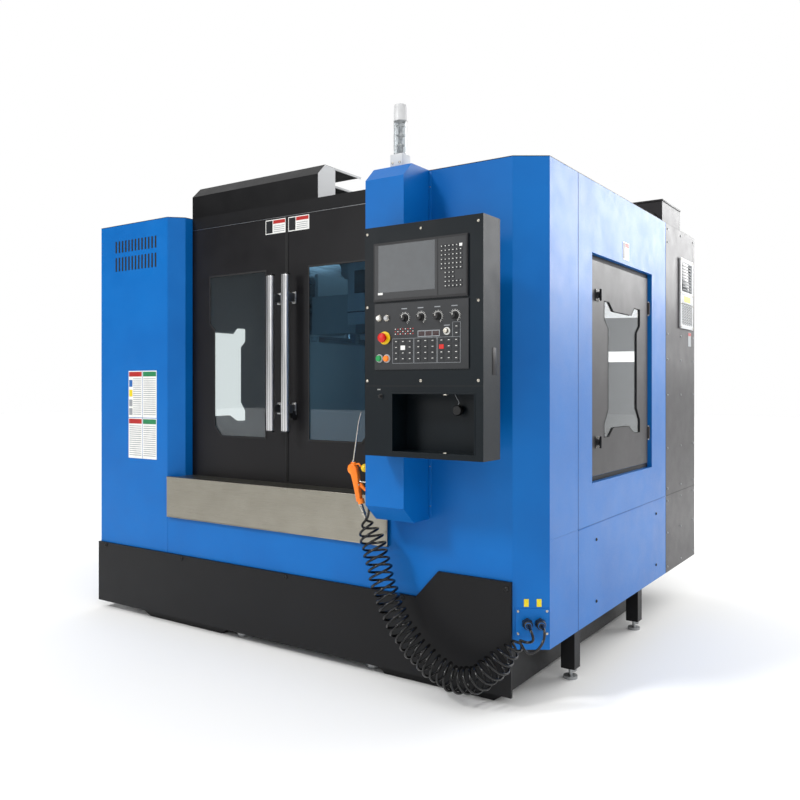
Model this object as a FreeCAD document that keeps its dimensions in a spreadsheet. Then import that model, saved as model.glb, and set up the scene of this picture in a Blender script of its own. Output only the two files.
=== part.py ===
import FreeCAD, Part
import Sketcher
import math
import operator
import os
from types import SimpleNamespace

# A three-axis vertical machining centre in a sheet-metal enclosure.
# Millimetres, +Z up, +X to the operator's right, +Y towards the back.
# The origin is on the floor, under the centre of the machine's bounding box.

V = FreeCAD.Vector
DOC = FreeCAD.newDocument("machining_centre")
SHEET = DOC.addObject("Spreadsheet::Sheet", "sizes")
PARTS = {}
PLANES = {"XY": "XY_Plane", "XZ": "XZ_Plane", "YZ": "YZ_Plane"}
OPERATORS = {"+": operator.add, "-": operator.sub, "*": operator.mul, "/": operator.truediv}

SIZES = {
    # The enclosure.
    "enclosure_width": 2616,
    "enclosure_depth": 2157,
    "enclosure_top": 2079,
    "front_reach": 341,
    "side_overhang": 8,
    "panel_bottom": 221,
    "skin": 3,
    "running_gap": 0.3,
    "seam_gap": 0.6,
    "corner_width": 116,
    "corner_depth": 79,
    "side_panel_end": 1579,
    "side_joint": 630,
    # The doorway and its two sliding doors.
    "seam_place": -44,
    "half_doorway": 654,
    "column_facet": 63,
    "door_setback": 110,
    "jamb_return": 62,
    "door_width": 676,
    "door_bottom": 755,
    "door_drop": 64,
    "door_depth": 30,
    "window_inner": 133,
    "window_outer": 527,
    "window_notch": 494,
    "window_foot": 443,
    "window_rise": 202,
    "window_notch_rise": 50,
    "window_notch_drop": 277,
    "window_step_drop": 244,
    "window_drop": 245,
    "window_overlap": 15,
    "glass": 5,
    "handle_place": 47,
    "handle_width": 40,
    "handle_bar": 24,
    "handle_standoff": 52,
    "handle_rise": 241,
    "handle_drop": 279,
    "handle_foot_inset": 109,
    # Sill, tracks and skirt.
    "sill_low": 546,
    "sill_high": 752,
    "sill_proud": 15,
    "sill_left": 705,
    "sill_right": 670,
    "track_depth": 36,
    "track_height": 20,
    "track_left": 1290,
    "track_right": 1205,
    "skirt_low": 40,
    "skirt_high": 360,
    "skirt_step": 475,
    "skirt_step_start": 765,
    "skirt_step_end": 870,
    "skirt_proud": 12,
    "apron_depth": 44,
    # Bed, column and axes.
    "spindle_x": 99,
    "spindle_y": 800,
    "bed_width": 860,
    "bed_length": 1936,
    "bed_low": 130,
    "bed_high": 430,
    "guide_height": 30,
    "guide_width": 90,
    "rail_width": 45,
    "rail_height": 35,
    "bed_rail_place": 290,
    "bed_rail_length": 1290,
    "column_width": 600,
    "column_front": 1400,
    "column_depth": 500,
    "column_high": 2050,
    "column_rail_place": 200,
    "column_rail_low": 900,
    "column_rail_high": 2000,
    "saddle_width": 760,
    "saddle_depth": 660,
    "saddle_high": 690,
    "saddle_rail_place": 190,
    "table_length": 1000,
    "table_depth": 500,
    "table_high": 870,
    "slot_pitch": 90,
    "slot_neck": 18,
    "slot_foot": 30,
    "slot_neck_depth": 22,
    "slot_foot_depth": 14,
    "screw_radius": 16,
    "bearing_gap": 0.05,
    "bearing_width": 60,
    "bearing_length": 17,
    "nose_high": 1490,
    "nose_radius": 64,
    "nose_length": 40,
    "taper_radius": 22.2,
    "taper_end": 15,
    "cartridge_radius": 95,
    "cartridge_length": 70,
    "head_width": 360,
    "head_front": 640,
    "head_height": 360,
    "motor_width": 220,
    "motor_height": 270,
    # Tool changer.
    "arm_reach": 280,
    "arm_width": 50,
    "arm_overhang": 40,
    "arm_thickness": 30,
    "arm_drop": 20,
    "arm_hub": 42,
    "grip_radius": 24,
    "drum_radius": 240,
    "drum_thickness": 30,
    "drum_lift": 295,
    "pot_radius": 27,
    "pot_circle": 232,
    "pot_length": 90,
    "pot_count": 20,
    "drum_shaft": 30,
    "bracket_thickness": 20,
    "bracket_height": 150,
    # Feet, legs and tanks.
    "pad_radius": 38,
    "pad_height": 30,
    "pad_stud": 20,
    "pad_place": 392,
    "leg_width": 60,
    "leg_inset": 30,
    "leg_low": 45,
    "front_leg": 425,
    "rear_leg": 1240,
    "rail_low": 225,
    "rail_high": 265,
    "foot_radius": 29,
    "foot_height": 12,
    "foot_stud": 8,
    "tank_top": 215,
    "tank_step": 44,
    "tank_gap": 4,
    "tank_front": 30,
    "tank_back": 1480,
    "left_tank_start": -1036,
    "left_tank_foot": 107,
    "left_tank_toe": 61,
    "right_tank_end": 1163,
    "right_tank_foot": 47,
    "right_tank_toe": 65,
    # Side door.
    "bay_front": 510,
    "bay_back": 1340,
    "bay_low": 800,
    "bay_drop": 301,
    "bay_margin": 27,
    "bay_lip": 35,
    "bay_depth": 28,
    "side_door_inset": 15,
    "side_door_depth": 9.7,
    "side_glass_front_inset": 188,
    "side_glass_back_inset": 147,
    "side_glass_rise": 185,
    "side_glass_drop": 191,
    "barrel_radius": 9.7,
    "barrel_length": 60,
    "latch_place": 98,
    "latch_rise": 170,
    "latch_drop": 174,
    "latch_radius": 14,
    "latch_wing": 26,
    # Rear boxes, hood and roof.
    "roof_left_edge": 350,
    "roof_right_edge": 550,
    "roof_gap_start": 560,
    "cable_box_right": 1247,
    "cable_box_width": 350,
    "cable_box_front": 1724,
    "cable_box_back": 2076,
    "cable_box_high": 158,
    "cooler_front": 1833,
    "cooler_back": 2087,
    "cooler_height": 386,
    "cooler_drop": 155,
    "cooler_proud": 6,
    "hood_left": 814,
    "hood_right": 61,
    "hood_front": 212,
    "hood_back": 556,
    "hood_side_back": 345,
    "hood_height": 201,
    "hood_bevel": 55,
    "hood_shelf": 115,
    # Cowl, lamp and pendant.
    "cowl_left": 639,
    "cowl_right": 821,
    "cowl_reach": 182,
    "cowl_low": 677,
    "cowl_bevel": 56,
    "cowl_chin": 72,
    "cowl_chin_height": 63,
    "lamp_inset": 84,
    "lamp_reach": 60,
    "lamp_base": 60,
    "lamp_base_height": 62,
    "lamp_radius": 28,
    "lamp_tube": 134,
    "lamp_cap": 70,
    "lamp_cap_radius": 27,
    "pendant_inset": 92,
    "pendant_width": 504,
    "pendant_depth": 124,
    "pendant_gap": 3,
    "pendant_height": 851,
    "pendant_drop": 276,
    "cubby_left_wall": 125,
    "cubby_right_wall": 36,
    "cubby_rise": 20,
    "cubby_height": 212,
    "cubby_depth": 100,
    "hinge_radius": 11.7,
    "hinge_length": 90,
    "hinge_inset": 60,
    "display_inset": 46,
    "display_width": 401,
    "display_height": 217,
    "display_drop": 63,
    "display_proud": 7,
    "keys_inset": 49,
    "keys_width": 400,
    "keys_height": 244,
    "keys_drop": 287,
    "keys_proud": 5,
    "button_inside": 10,
    "button_proud": 13,
    "stop_stem": 11,
    "stop_radius": 17.5,
    "stop_stem_proud": 16,
    "stop_proud": 27,
    "knob_radius": 14,
    "knob_proud": 20,
    "knob_shaft": 4,
    "key_switch_radius": 9,
    # Air line.
    "gland_plate_start": 12,
    "gland_plate_end": 137,
    "gland_plate_low": 274,
    "gland_plate_high": 375,
    "gland_first": 54,
    "gland_second": 103,
    "gland_height": 321,
    "gland_radius": 13,
    "gland_length": 42,
    "gun_reach": 100,
    "gun_half_width": 12,
    "nozzle_radius": 4,
    "fitting_radius": 9,
    "hook_radius": 4,
    "hook_height": 819,
    "valve_reach": 125,
    "valve_height": 880,
    "valve_radius": 9,
    "valve_length": 52,
    "spigot_radius": 6,
    "spigot_drop": 34,
    "hose_radius": 4.5,
    "coil_radius": 47,
}


class Size:
    """A number together with the spreadsheet formula that gives it."""

    def __init__(self, value, formula=None):
        self.value = value
        self.formula = formula or f"({value})"

    def joined(self, sign, first, second):
        value = OPERATORS[sign](first.value, second.value)
        return Size(value, f"({first.formula} {sign} {second.formula})")

    def __add__(self, other):
        return self.joined("+", self, size_of(other))

    def __radd__(self, other):
        return self.joined("+", size_of(other), self)

    def __sub__(self, other):
        return self.joined("-", self, size_of(other))

    def __rsub__(self, other):
        return self.joined("-", size_of(other), self)

    def __mul__(self, other):
        return self.joined("*", self, size_of(other))

    def __rmul__(self, other):
        return self.joined("*", size_of(other), self)

    def __truediv__(self, other):
        return self.joined("/", self, size_of(other))

    def __neg__(self):
        return self.joined("*", Size(-1), self)


def size_of(number):
    return number if isinstance(number, Size) else Size(number)


def root(size):
    """The square root of a size."""
    return Size(math.sqrt(size.value), f"sqrt({size.formula})")


def filled_sheet():
    """Puts the driving sizes in the spreadsheet and returns them by name."""
    named = SimpleNamespace()
    for row, (alias, value) in enumerate(SIZES.items(), start=1):
        SHEET.set(f"A{row}", alias)
        SHEET.set(f"B{row}", str(value))
        SHEET.setAlias(f"B{row}", alias)
        setattr(named, alias, Size(value, f"sizes.{alias}"))
    DOC.recompute()
    return named


def bind(thing, path, size):
    thing.setExpression(path, size_of(size).formula)


def place(thing, x, y, z):
    bind(thing, ".Placement.Base.x", x)
    bind(thing, ".Placement.Base.y", y)
    bind(thing, ".Placement.Base.z", z)


def box(name, x, y, z):
    """A box between two planes along each axis."""
    block = DOC.addObject("Part::Box", name)
    bind(block, "Length", x[1] - x[0])
    bind(block, "Width", y[1] - y[0])
    bind(block, "Height", z[1] - z[0])
    place(block, x[0], y[0], z[0])
    return block


def rod(name, radius, start, end, radius_end=None):
    """A cylinder, or a cone if it has a second radius, from one point to another."""
    kind = "Part::Cylinder" if radius_end is None else "Part::Cone"
    bar = DOC.addObject(kind, name)
    reach = V(*[size_of(b).value - size_of(a).value for a, b in zip(start, end)])
    bar.Placement = FreeCAD.Placement(V(), FreeCAD.Rotation(V(0, 0, 1), reach))
    place(bar, *start)
    steps = [size_of(b) - a for a, b in zip(start, end)]
    bind(bar, "Height", root(sum((step * step for step in steps), Size(0))))
    if radius_end is None:
        bind(bar, "Radius", radius)
    else:
        bind(bar, "Radius1", radius)
        bind(bar, "Radius2", radius_end)
    return bar


def prism(name, plane, low, high, *outlines):
    """A padded sketch between two levels along the normal of an origin plane."""
    body = DOC.addObject("PartDesign::Body", name)
    sketch = body.newObject("Sketcher::SketchObject", name + "_outline")
    origin = [f for f in body.Origin.OriginFeatures if f.Role == PLANES[plane]]
    sketch.AttachmentSupport = [(origin[0], "")]
    sketch.MapMode = "FlatFace"
    # The XZ plane faces -Y, so its pad runs from the high level to the low one.
    level = -size_of(high) if plane == "XZ" else size_of(low)
    bind(sketch, ".AttachmentOffset.Base.z", level)
    for outline in outlines:
        draw(sketch, [(size_of(a), size_of(b)) for a, b in outline])
    pad = body.newObject("PartDesign::Pad", name + "_pad")
    pad.Profile = sketch
    bind(pad, "Length", size_of(high) - low)
    sketch.Visibility = False
    return body


def draw(sketch, points):
    """A closed outline of straight edges whose every corner is held by two sizes."""
    corners = [V(a.value, b.value, 0) for a, b in points]
    first = sketch.GeometryCount
    count = len(corners)
    for i in range(count):
        sketch.addGeometry(Part.LineSegment(corners[i], corners[(i + 1) % count]), False)
    for i in range(count):
        following = first + (i + 1) % count
        sketch.addConstraint(Sketcher.Constraint("Coincident", first + i, 2, following, 1))
    for i, pair in enumerate(points):
        for kind, size in zip(("DistanceX", "DistanceY"), pair):
            held = Sketcher.Constraint(kind, -1, 1, first + i, 1, size.value)
            number = sketch.addConstraint(held)
            sketch.setExpression(f"Constraints[{number}]", size.formula)


def fuse(name, *pieces):
    joined = DOC.addObject("Part::MultiFuse", name)
    joined.Shapes = list(pieces)
    return joined


def cut(name, base, *tools):
    taken = DOC.addObject("Part::Cut", name)
    taken.Base = base
    taken.Tool = tools[0] if len(tools) == 1 else fuse(name + "_tools", *tools)
    return taken


def group(name, *pieces):
    """Separate solids that are one sub-part."""
    together = DOC.addObject("Part::Compound", name)
    together.Links = list(pieces)
    return together


def sub_part(label, thing):
    thing.Label = label
    PARTS[label] = thing
    return thing


s = filled_sheet()

# Planes that many pieces share.
right = s.enclosure_width / 2
left = -right
front = (s.front_reach - s.enclosure_depth) / 2
back = front + s.enclosure_depth
under_roof = s.enclosure_top - s.skin
doorway_left = s.seam_place - s.half_doorway
doorway_right = s.seam_place + s.half_doorway
door_plane = front + s.door_setback
door_face = door_plane + s.skin
corner_start = right - s.corner_width
column_edge = doorway_left - s.column_facet
bend = s.skin * (math.sqrt(2) - 1)
spindle_y = front + s.spindle_y
column_front = front + s.column_front
door_top = s.enclosure_top - s.door_drop
window_low = s.door_bottom + s.window_rise
window_high = door_top - s.window_drop
bay_high = s.enclosure_top - s.bay_drop
pendant_x = (s.cowl_left + s.pendant_inset, s.cowl_left + s.pendant_inset + s.pendant_width)
pendant_high = s.enclosure_top - s.pendant_drop
pendant_low = pendant_high - s.pendant_height
keys_left = pendant_x[0] + s.keys_inset
keys_high = pendant_high - s.keys_drop
keys_low = keys_high - s.keys_height


def bearings(name, centre, axis, ends, radius, low, high):
    """Two blocks that hold a screw, bored for its ends."""
    blocks = []
    half = s.bearing_width / 2
    for i, end in enumerate(ends):
        if axis == 0:
            block = box(f"{name}_block", (end, end + s.bearing_length),
                        (centre[1] - half, centre[1] + half), (low, high))
        elif axis == 1:
            block = box(f"{name}_block", (centre[0] - half, centre[0] + half),
                        (end, end + s.bearing_length), (low, high))
        else:
            block = box(f"{name}_block", (centre[0] - half, centre[0] + half),
                        (low, high), (end, end + s.bearing_length))
        start = list(centre)
        finish = list(centre)
        start[axis] = end - 1
        finish[axis] = end + s.bearing_length + 1
        bore = rod(f"{name}_bore", radius + s.bearing_gap, start, finish)
        blocks.append(cut(f"{name}_bearing", block, bore))
    return blocks


def bed_and_column():
    """The castings, their linear rails and the three ball screws' bearings."""
    x = s.spindle_x
    bed_front = front + s.apron_depth
    guide_top = s.bed_high + s.guide_height
    body = box("bed_body", (x - s.bed_width / 2, x + s.bed_width / 2),
               (bed_front, bed_front + s.bed_length), (s.bed_low, s.bed_high))
    pieces = [body]
    rails = []
    for side in (-1, 1):
        middle = x + s.bed_rail_place * side
        pieces.append(box("bed_guide", (middle - s.guide_width / 2, middle + s.guide_width / 2),
                          (bed_front + 20, column_front), (s.bed_high, guide_top)))
        rails.append(box("bed_rail", (middle - s.rail_width / 2, middle + s.rail_width / 2),
                         (column_front - s.bed_rail_length, column_front - 5),
                         (guide_top, guide_top + s.rail_height)))
        middle = x + s.column_rail_place * side
        rails.append(box("column_rail", (middle - s.rail_width / 2, middle + s.rail_width / 2),
                         (column_front - s.rail_height, column_front),
                         (s.column_rail_low, s.column_rail_high)))
    pieces.append(box("column_seat", (x - s.column_width / 2, x + s.column_width / 2),
                      (column_front, column_front + s.column_depth), (s.bed_high, guide_top)))
    for foot_x in (x - s.pad_place, x + s.pad_place):
        for foot_y in bed_feet():
            pieces.append(rod("bed_boss", s.pad_stud * 2, (foot_x, foot_y, s.bed_low + 1),
                              (foot_x, foot_y, s.pad_height * 2)))
    screw_z = guide_top + s.rail_height / 2 - s.guide_height / 4
    pieces += bearings("bed", (x, 0, screw_z), 1,
                       (bed_front + 30, column_front - s.bearing_length - 1), s.screw_radius,
                       s.bed_high - 1, guide_top + s.rail_height - 5)
    sub_part("bed_casting", fuse("bed_casting", *pieces))
    column = box("column_body", (x - s.column_width / 2, x + s.column_width / 2),
                 (column_front, column_front + s.column_depth), (guide_top, s.column_high))
    screw_y = column_front - s.rail_height / 2
    blocks = bearings("column", (x, screw_y, 0), 2,
                      (s.column_rail_low, s.column_rail_high + s.bearing_length),
                      s.screw_radius, screw_y - s.screw_radius, column_front + 1)
    sub_part("column_casting", fuse("column_casting", column, *blocks))
    sub_part("linear_rails", group("linear_rails", *rails))
    sub_part("y_ballscrew", rod("y_ballscrew", s.screw_radius,
                                (x, bed_front + 32, screw_z), (x, column_front - 2, screw_z)))
    sub_part("z_ballscrew", rod("z_ballscrew", s.screw_radius,
                                (x, screw_y, s.column_rail_low + 2),
                                (x, screw_y, s.column_rail_high + s.bearing_length * 2 - 2)))


def bed_feet():
    """How far back the three rows of bed pads stand."""
    bed_front = front + s.apron_depth
    margin = s.pad_radius
    return (bed_front + margin, bed_front + s.bed_length / 2, bed_front + s.bed_length - margin)


def table_and_saddle():
    """The cross saddle with its rails, the slotted table and the X screw."""
    x = s.spindle_x
    low = s.bed_high + s.guide_height + s.rail_height + s.running_gap
    half = s.saddle_width / 2
    rail_top = s.saddle_high + s.rail_height
    block = box("saddle_block", (x - half, x + half),
                (spindle_y - s.saddle_depth / 2, spindle_y + s.saddle_depth / 2),
                (low, s.saddle_high))
    pieces = [block]
    for side in (-1, 1):
        middle = spindle_y + s.saddle_rail_place * side
        pieces.append(box("saddle_rail", (x - half, x + half),
                          (middle - s.rail_width / 2, middle + s.rail_width / 2),
                          (s.saddle_high, rail_top)))
    screw_z = s.saddle_high + s.rail_height / 2
    pieces += bearings("saddle", (0, spindle_y, screw_z), 0,
                       (x - half, x + half - s.bearing_length), s.screw_radius,
                       s.saddle_high - 1, rail_top - 1)
    sub_part("saddle", fuse("saddle", *pieces))
    sub_part("x_ballscrew", rod("x_ballscrew", s.screw_radius - s.running_gap,
                                (x - half + 2, spindle_y, screw_z),
                                (x + half - 2, spindle_y, screw_z)))
    slab = box("table_slab", (x - s.table_length / 2, x + s.table_length / 2),
               (spindle_y - s.table_depth / 2, spindle_y + s.table_depth / 2),
               (rail_top + s.running_gap, s.table_high))
    slots = []
    ends = (x - s.table_length / 2 - 1, x + s.table_length / 2 + 1)
    for i in range(-2, 3):
        middle = spindle_y + s.slot_pitch * i
        neck = s.table_high - s.slot_neck_depth
        slots.append(box("slot_neck", ends, (middle - s.slot_neck / 2, middle + s.slot_neck / 2),
                         (neck, s.table_high + 1)))
        slots.append(box("slot_foot", ends, (middle - s.slot_foot / 2, middle + s.slot_foot / 2),
                         (neck - s.slot_foot_depth, neck)))
    sub_part("table", cut("table", slab, *slots))


def spindle_head():
    """The head casting with its cartridge and motor, and the spindle in it."""
    x = s.spindle_x
    cartridge_low = s.nose_high + s.nose_length
    head_low = cartridge_low + s.cartridge_length
    head_high = head_low + s.head_height
    casting = box("head_body", (x - s.head_width / 2, x + s.head_width / 2),
                  (front + s.head_front, column_front - s.rail_height - s.running_gap),
                  (head_low, head_high))
    cartridge = rod("head_cartridge", s.cartridge_radius, (x, spindle_y, cartridge_low),
                    (x, spindle_y, head_low + 1))
    motor = box("head_motor", (x - s.motor_width / 2, x + s.motor_width / 2),
                (spindle_y - s.motor_width / 2, spindle_y + s.motor_width / 2),
                (head_high - 1, head_high + s.motor_height))
    sub_part("spindle_head", fuse("spindle_head", casting, cartridge, motor))
    nose = rod("spindle_nose", s.nose_radius, (x, spindle_y, s.nose_high),
               (x, spindle_y, cartridge_low - s.running_gap))
    taper = rod("spindle_taper", s.taper_radius, (x, spindle_y, s.nose_high - 0.01),
                (x, spindle_y, s.nose_high + s.nose_length - 4), s.taper_end)
    sub_part("spindle", cut("spindle", nose, taper))


def tool_changer():
    """The drum of tool pots, the change arm and the bracket that carries both."""
    arm_x = s.spindle_x - s.arm_reach
    drum_x = arm_x - s.arm_reach
    arm_top = s.nose_high - s.arm_drop
    arm_low = arm_top - s.arm_thickness
    drum_z = arm_top + s.drum_lift
    span = s.arm_reach + s.arm_overhang
    bar = box("arm_bar", (arm_x - s.arm_width / 2, arm_x + s.arm_width / 2),
              (spindle_y - span, spindle_y + span), (arm_low, arm_top))
    drive_low = arm_top + s.arm_thickness
    hub = rod("arm_hub", s.arm_hub, (arm_x, spindle_y, arm_low),
              (arm_x, spindle_y, drive_low - s.running_gap))
    grips = []
    for side in (-1, 1):
        y = spindle_y + s.arm_reach * side
        grips.append(rod("arm_grip", s.grip_radius, (arm_x + s.arm_width / 2 * side, y, arm_low - 1),
                         (arm_x + s.arm_width / 2 * side, y, arm_top + 1)))
    sub_part("change_arm", cut("change_arm", fuse("arm_solid", bar, hub), *grips))
    disc = rod("drum_disc", s.drum_radius, (drum_x, spindle_y, drum_z),
               (drum_x + s.drum_thickness, spindle_y, drum_z))
    pots = []
    for i in range(SIZES["pot_count"]):
        turn = 2 * math.pi * i / SIZES["pot_count"]
        y = spindle_y + s.pot_circle * math.cos(turn)
        z = drum_z + s.pot_circle * math.sin(turn)
        pots.append(rod("drum_pot", s.pot_radius, (drum_x - s.pot_length, y, z),
                        (drum_x + s.drum_thickness, y, z)))
    sub_part("magazine_drum", fuse("magazine_drum", disc, *pots))
    plate_x = drum_x + s.drum_thickness * 2
    plate_z = (drum_z - s.bracket_height / 2, drum_z + s.bracket_height / 2)
    column_side = s.spindle_x - s.column_width / 2
    plate_end = column_front + s.column_depth / 3
    shaft = rod("drum_shaft", s.drum_shaft, (drum_x + s.drum_thickness + s.running_gap, spindle_y, drum_z),
                (plate_x + 1, spindle_y, drum_z))
    plate = box("bracket_plate", (plate_x, plate_x + s.bracket_thickness),
                (spindle_y - s.drum_shaft * 2, plate_end), plate_z)
    foot = box("bracket_foot", (plate_x, column_side),
               (column_front + s.bracket_thickness, plate_end), plate_z)
    drive = box("arm_drive", (plate_x, arm_x + s.arm_hub * 2),
                (spindle_y - s.arm_hub * 2, spindle_y + s.arm_hub * 2),
                (drive_low, plate_z[0] + s.bracket_thickness))
    sub_part("magazine_bracket", fuse("magazine_bracket", shaft, plate, foot, drive))


def enclosure_front():
    """The blue left column, the right pillar, the apron and the header over the doors."""
    y = front
    inner = y + s.skin
    flange = door_plane - s.skin
    ceiling = under_roof
    sub_part("left_front_column", prism(
        "left_front_column", "XY", s.panel_bottom, ceiling,
        [(left, y), (column_edge, y), (doorway_left, y + s.column_facet),
         (doorway_left, door_plane), (doorway_left - s.jamb_return, door_plane),
         (doorway_left - s.jamb_return, flange), (doorway_left - s.skin, flange),
         (doorway_left - s.skin, y + s.column_facet + bend), (column_edge - bend, inner),
         (left, inner)]))
    slope = s.corner_depth / s.corner_width
    bend_x = corner_start - s.skin * slope / 2
    sub_part("right_front_pillar", prism(
        "right_front_pillar", "XY", s.panel_bottom, ceiling,
        [(doorway_right, y), (corner_start, y), (right, y + s.corner_depth),
         (bend_x + (s.corner_depth - s.skin) / slope, y + s.corner_depth), (bend_x, inner),
         (doorway_right + s.skin, inner),
         (doorway_right + s.skin, flange), (doorway_right + s.jamb_return, flange),
         (doorway_right + s.jamb_return, door_plane), (doorway_right, door_plane)]))
    bed_front = y + s.apron_depth
    sheet = box("apron_sheet", (column_edge + s.skin, doorway_right), (y, inner),
                (s.panel_bottom, s.sill_high - s.skin))
    floor = box("apron_floor", (s.spindle_x - s.bed_width / 2, doorway_right),
                (y, bed_front), (s.panel_bottom, s.panel_bottom + s.skin))
    sub_part("front_apron", fuse("front_apron", sheet, floor))
    header_low = door_top + s.running_gap
    sheet = box("header_sheet", (doorway_left, doorway_right), (door_plane, door_face),
                (door_top + s.track_height / 4, ceiling))
    flange = box("header_flange", (doorway_left, doorway_right),
                 (door_plane, door_face + s.track_depth), (ceiling - s.skin, ceiling))
    sub_part("front_header", fuse("front_header", sheet, flange))
    tracks = []
    for name, low, high in (
            ("low_track", s.door_bottom - s.running_gap - s.track_height, s.door_bottom - s.running_gap),
            ("high_track", header_low, header_low + s.track_height)):
        tracks.append(box(name, (-s.track_left, s.track_right),
                          (door_face, door_face + s.track_depth), (low, high)))
    sub_part("door_tracks", group("door_tracks", *tracks))


def sill_and_skirt():
    """The stainless sill under the doors and the black skirt along the floor."""
    y = front
    sill_x = (s.seam_place - s.sill_left, s.seam_place + s.sill_right)
    face = box("sill_face", sill_x, (y - s.sill_proud, y - s.sill_proud + s.skin),
               (s.sill_low, s.sill_high))
    top = box("sill_top", sill_x, (y - s.sill_proud, y), (s.sill_high - s.skin, s.sill_high))
    foot = box("sill_foot", sill_x, (y - s.sill_proud, y), (s.sill_low, s.sill_low + s.skin))
    lip = box("sill_lip", (doorway_left + s.running_gap, doorway_right - s.running_gap),
              (y - s.skin, door_face), (s.sill_high - s.skin, s.sill_high))
    sub_part("door_sill", fuse("door_sill", face, top, foot, lip))
    skirt_left = left - s.side_overhang
    skirt_y = y - s.skirt_proud
    face = prism("skirt_face", "XZ", skirt_y, skirt_y + s.skin,
                 [(skirt_left, s.skirt_low), (corner_start, s.skirt_low),
                  (corner_start, s.skirt_step), (s.skirt_step_end, s.skirt_step),
                  (s.skirt_step_start, s.skirt_high), (skirt_left, s.skirt_high)])
    ledge = box("skirt_ledge", (skirt_left, s.skirt_step_start), (skirt_y, y),
                (s.skirt_high - s.skin, s.skirt_high))
    high_ledge = box("skirt_high_ledge", (s.skirt_step_end, corner_start), (skirt_y, y),
                     (s.skirt_step - s.skin, s.skirt_step))
    left_end = box("skirt_left_end", (skirt_left, skirt_left + s.skin),
                   (skirt_y, y + s.door_setback), (s.skirt_low, s.skirt_high))
    right_end = box("skirt_right_end", (corner_start - s.skin, corner_start),
                    (skirt_y, y - s.running_gap), (s.skirt_low, s.skirt_step))
    sub_part("front_skirt", fuse("front_skirt", face, ledge, high_ledge, left_end, right_end))


def polygon(centre, sign, points):
    """An outline given by distances from a centre line, on one side of it."""
    return [(centre + distance * sign, height) for distance, height in points]


def sliding_door(name, sign):
    """One half of the front door: a folded pan, its window and its bar handle."""
    seam = s.seam_place
    gap = s.running_gap
    high = door_top
    back_y = door_face + s.door_depth
    near = seam + sign * gap
    far = seam + sign * s.door_width
    x = (near, far) if sign > 0 else (far, near)
    outline = [(x[0], s.door_bottom), (x[1], s.door_bottom), (x[1], high), (x[0], high)]
    window = [(s.window_outer, window_high), (s.window_inner, window_high),
              (s.window_inner, window_low), (s.window_foot, window_low),
              (s.window_notch, window_low + s.window_notch_rise),
              (s.window_notch, window_high - s.window_notch_drop),
              (s.window_outer, window_high - s.window_step_drop)]
    face = prism(name + "_face", "XZ", door_face, door_face + s.skin, outline,
                 polygon(seam, sign, window))
    wall = s.skin
    inner = [(x[0] + wall, s.door_bottom + wall), (x[1] - wall, s.door_bottom + wall),
             (x[1] - wall, high - wall), (x[0] + wall, high - wall)]
    rim = prism(name + "_rim", "XZ", door_face, back_y, outline, inner)
    sub_part(name, fuse(name, face, rim))
    more = s.window_overlap
    cover = [(s.window_outer + more, window_high + more), (s.window_inner - more, window_high + more),
             (s.window_inner - more, window_low - more), (s.window_outer + more, window_low - more)]
    sub_part(name + "_window", prism(name + "_window", "XZ", door_face + s.skin,
                                     door_face + s.skin + s.glass, polygon(seam, sign, cover)))
    middle = seam + s.handle_place * sign
    bar_y = door_face - s.handle_standoff
    half = s.handle_width / 2
    low = s.door_bottom + s.handle_rise
    high = door_top - s.handle_drop
    bar = box(name + "_bar", (middle - half, middle + half), (bar_y - s.handle_bar, bar_y),
              (low, high))
    feet = []
    for z in (low + s.handle_foot_inset, high - s.handle_foot_inset):
        feet.append(box(name + "_foot", (middle - half / 2, middle + half / 2),
                        (bar_y - 1, door_face), (z - half, z + half)))
    sub_part(name + "_handle", fuse(name + "_handle", bar, *feet))


def side_panels():
    """The flat side sheets, the dark rear sheets and the frame of the side door's bay."""
    seam = s.seam_gap
    start = front + s.corner_depth
    end = front + s.side_panel_end
    bay_front = front + s.bay_front
    bay_back = front + s.bay_back
    bay = [(bay_front, s.bay_low), (bay_back, s.bay_low), (bay_back, bay_high),
           (bay_front, bay_high)]
    sheet_x = (right - s.skin, right)
    upper = prism("right_upper_sheet", "YZ", sheet_x[0], sheet_x[1],
                  [(start, s.side_joint), (end, s.side_joint), (end, under_roof), (start, under_roof)],
                  bay)
    wall = s.skin
    inner = [(bay_front + wall, s.bay_low + wall), (bay_back - wall, s.bay_low + wall),
             (bay_back - wall, bay_high - wall), (bay_front + wall, bay_high - wall)]
    jamb = prism("bay_jamb", "YZ", right - s.bay_depth, right, bay, inner)
    lip = s.bay_lip
    mouth = [(bay_front + lip, s.bay_low + lip), (bay_back - lip, s.bay_low + lip),
             (bay_back - lip, bay_high - lip), (bay_front + lip, bay_high - lip)]
    flange = prism("bay_flange", "YZ", right - s.bay_depth, right - s.bay_depth + wall, bay, mouth)
    lower = box("right_lower_sheet", sheet_x, (start, end),
                (s.panel_bottom, s.side_joint - seam))
    sub_part("right_side_panels", group("right_side_panels",
                                        fuse("right_upper", upper, jamb, flange), lower))
    left_x = (left, left + s.skin)
    sub_part("left_side_panels", group(
        "left_side_panels",
        box("left_upper_sheet", left_x, (front + s.skin, end), (s.side_joint, under_roof)),
        box("left_lower_sheet", left_x, (front + s.skin, end),
            (s.panel_bottom, s.side_joint - seam))))
    height = (s.panel_bottom, under_roof)
    sub_part("rear_panels", group(
        "rear_panels",
        box("rear_right_sheet", sheet_x, (end + seam, back), height),
        box("rear_left_sheet", left_x, (end + seam, back), height),
        box("back_sheet", (left + s.skin, right - s.skin), (back - s.skin, back), height)))


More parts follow.
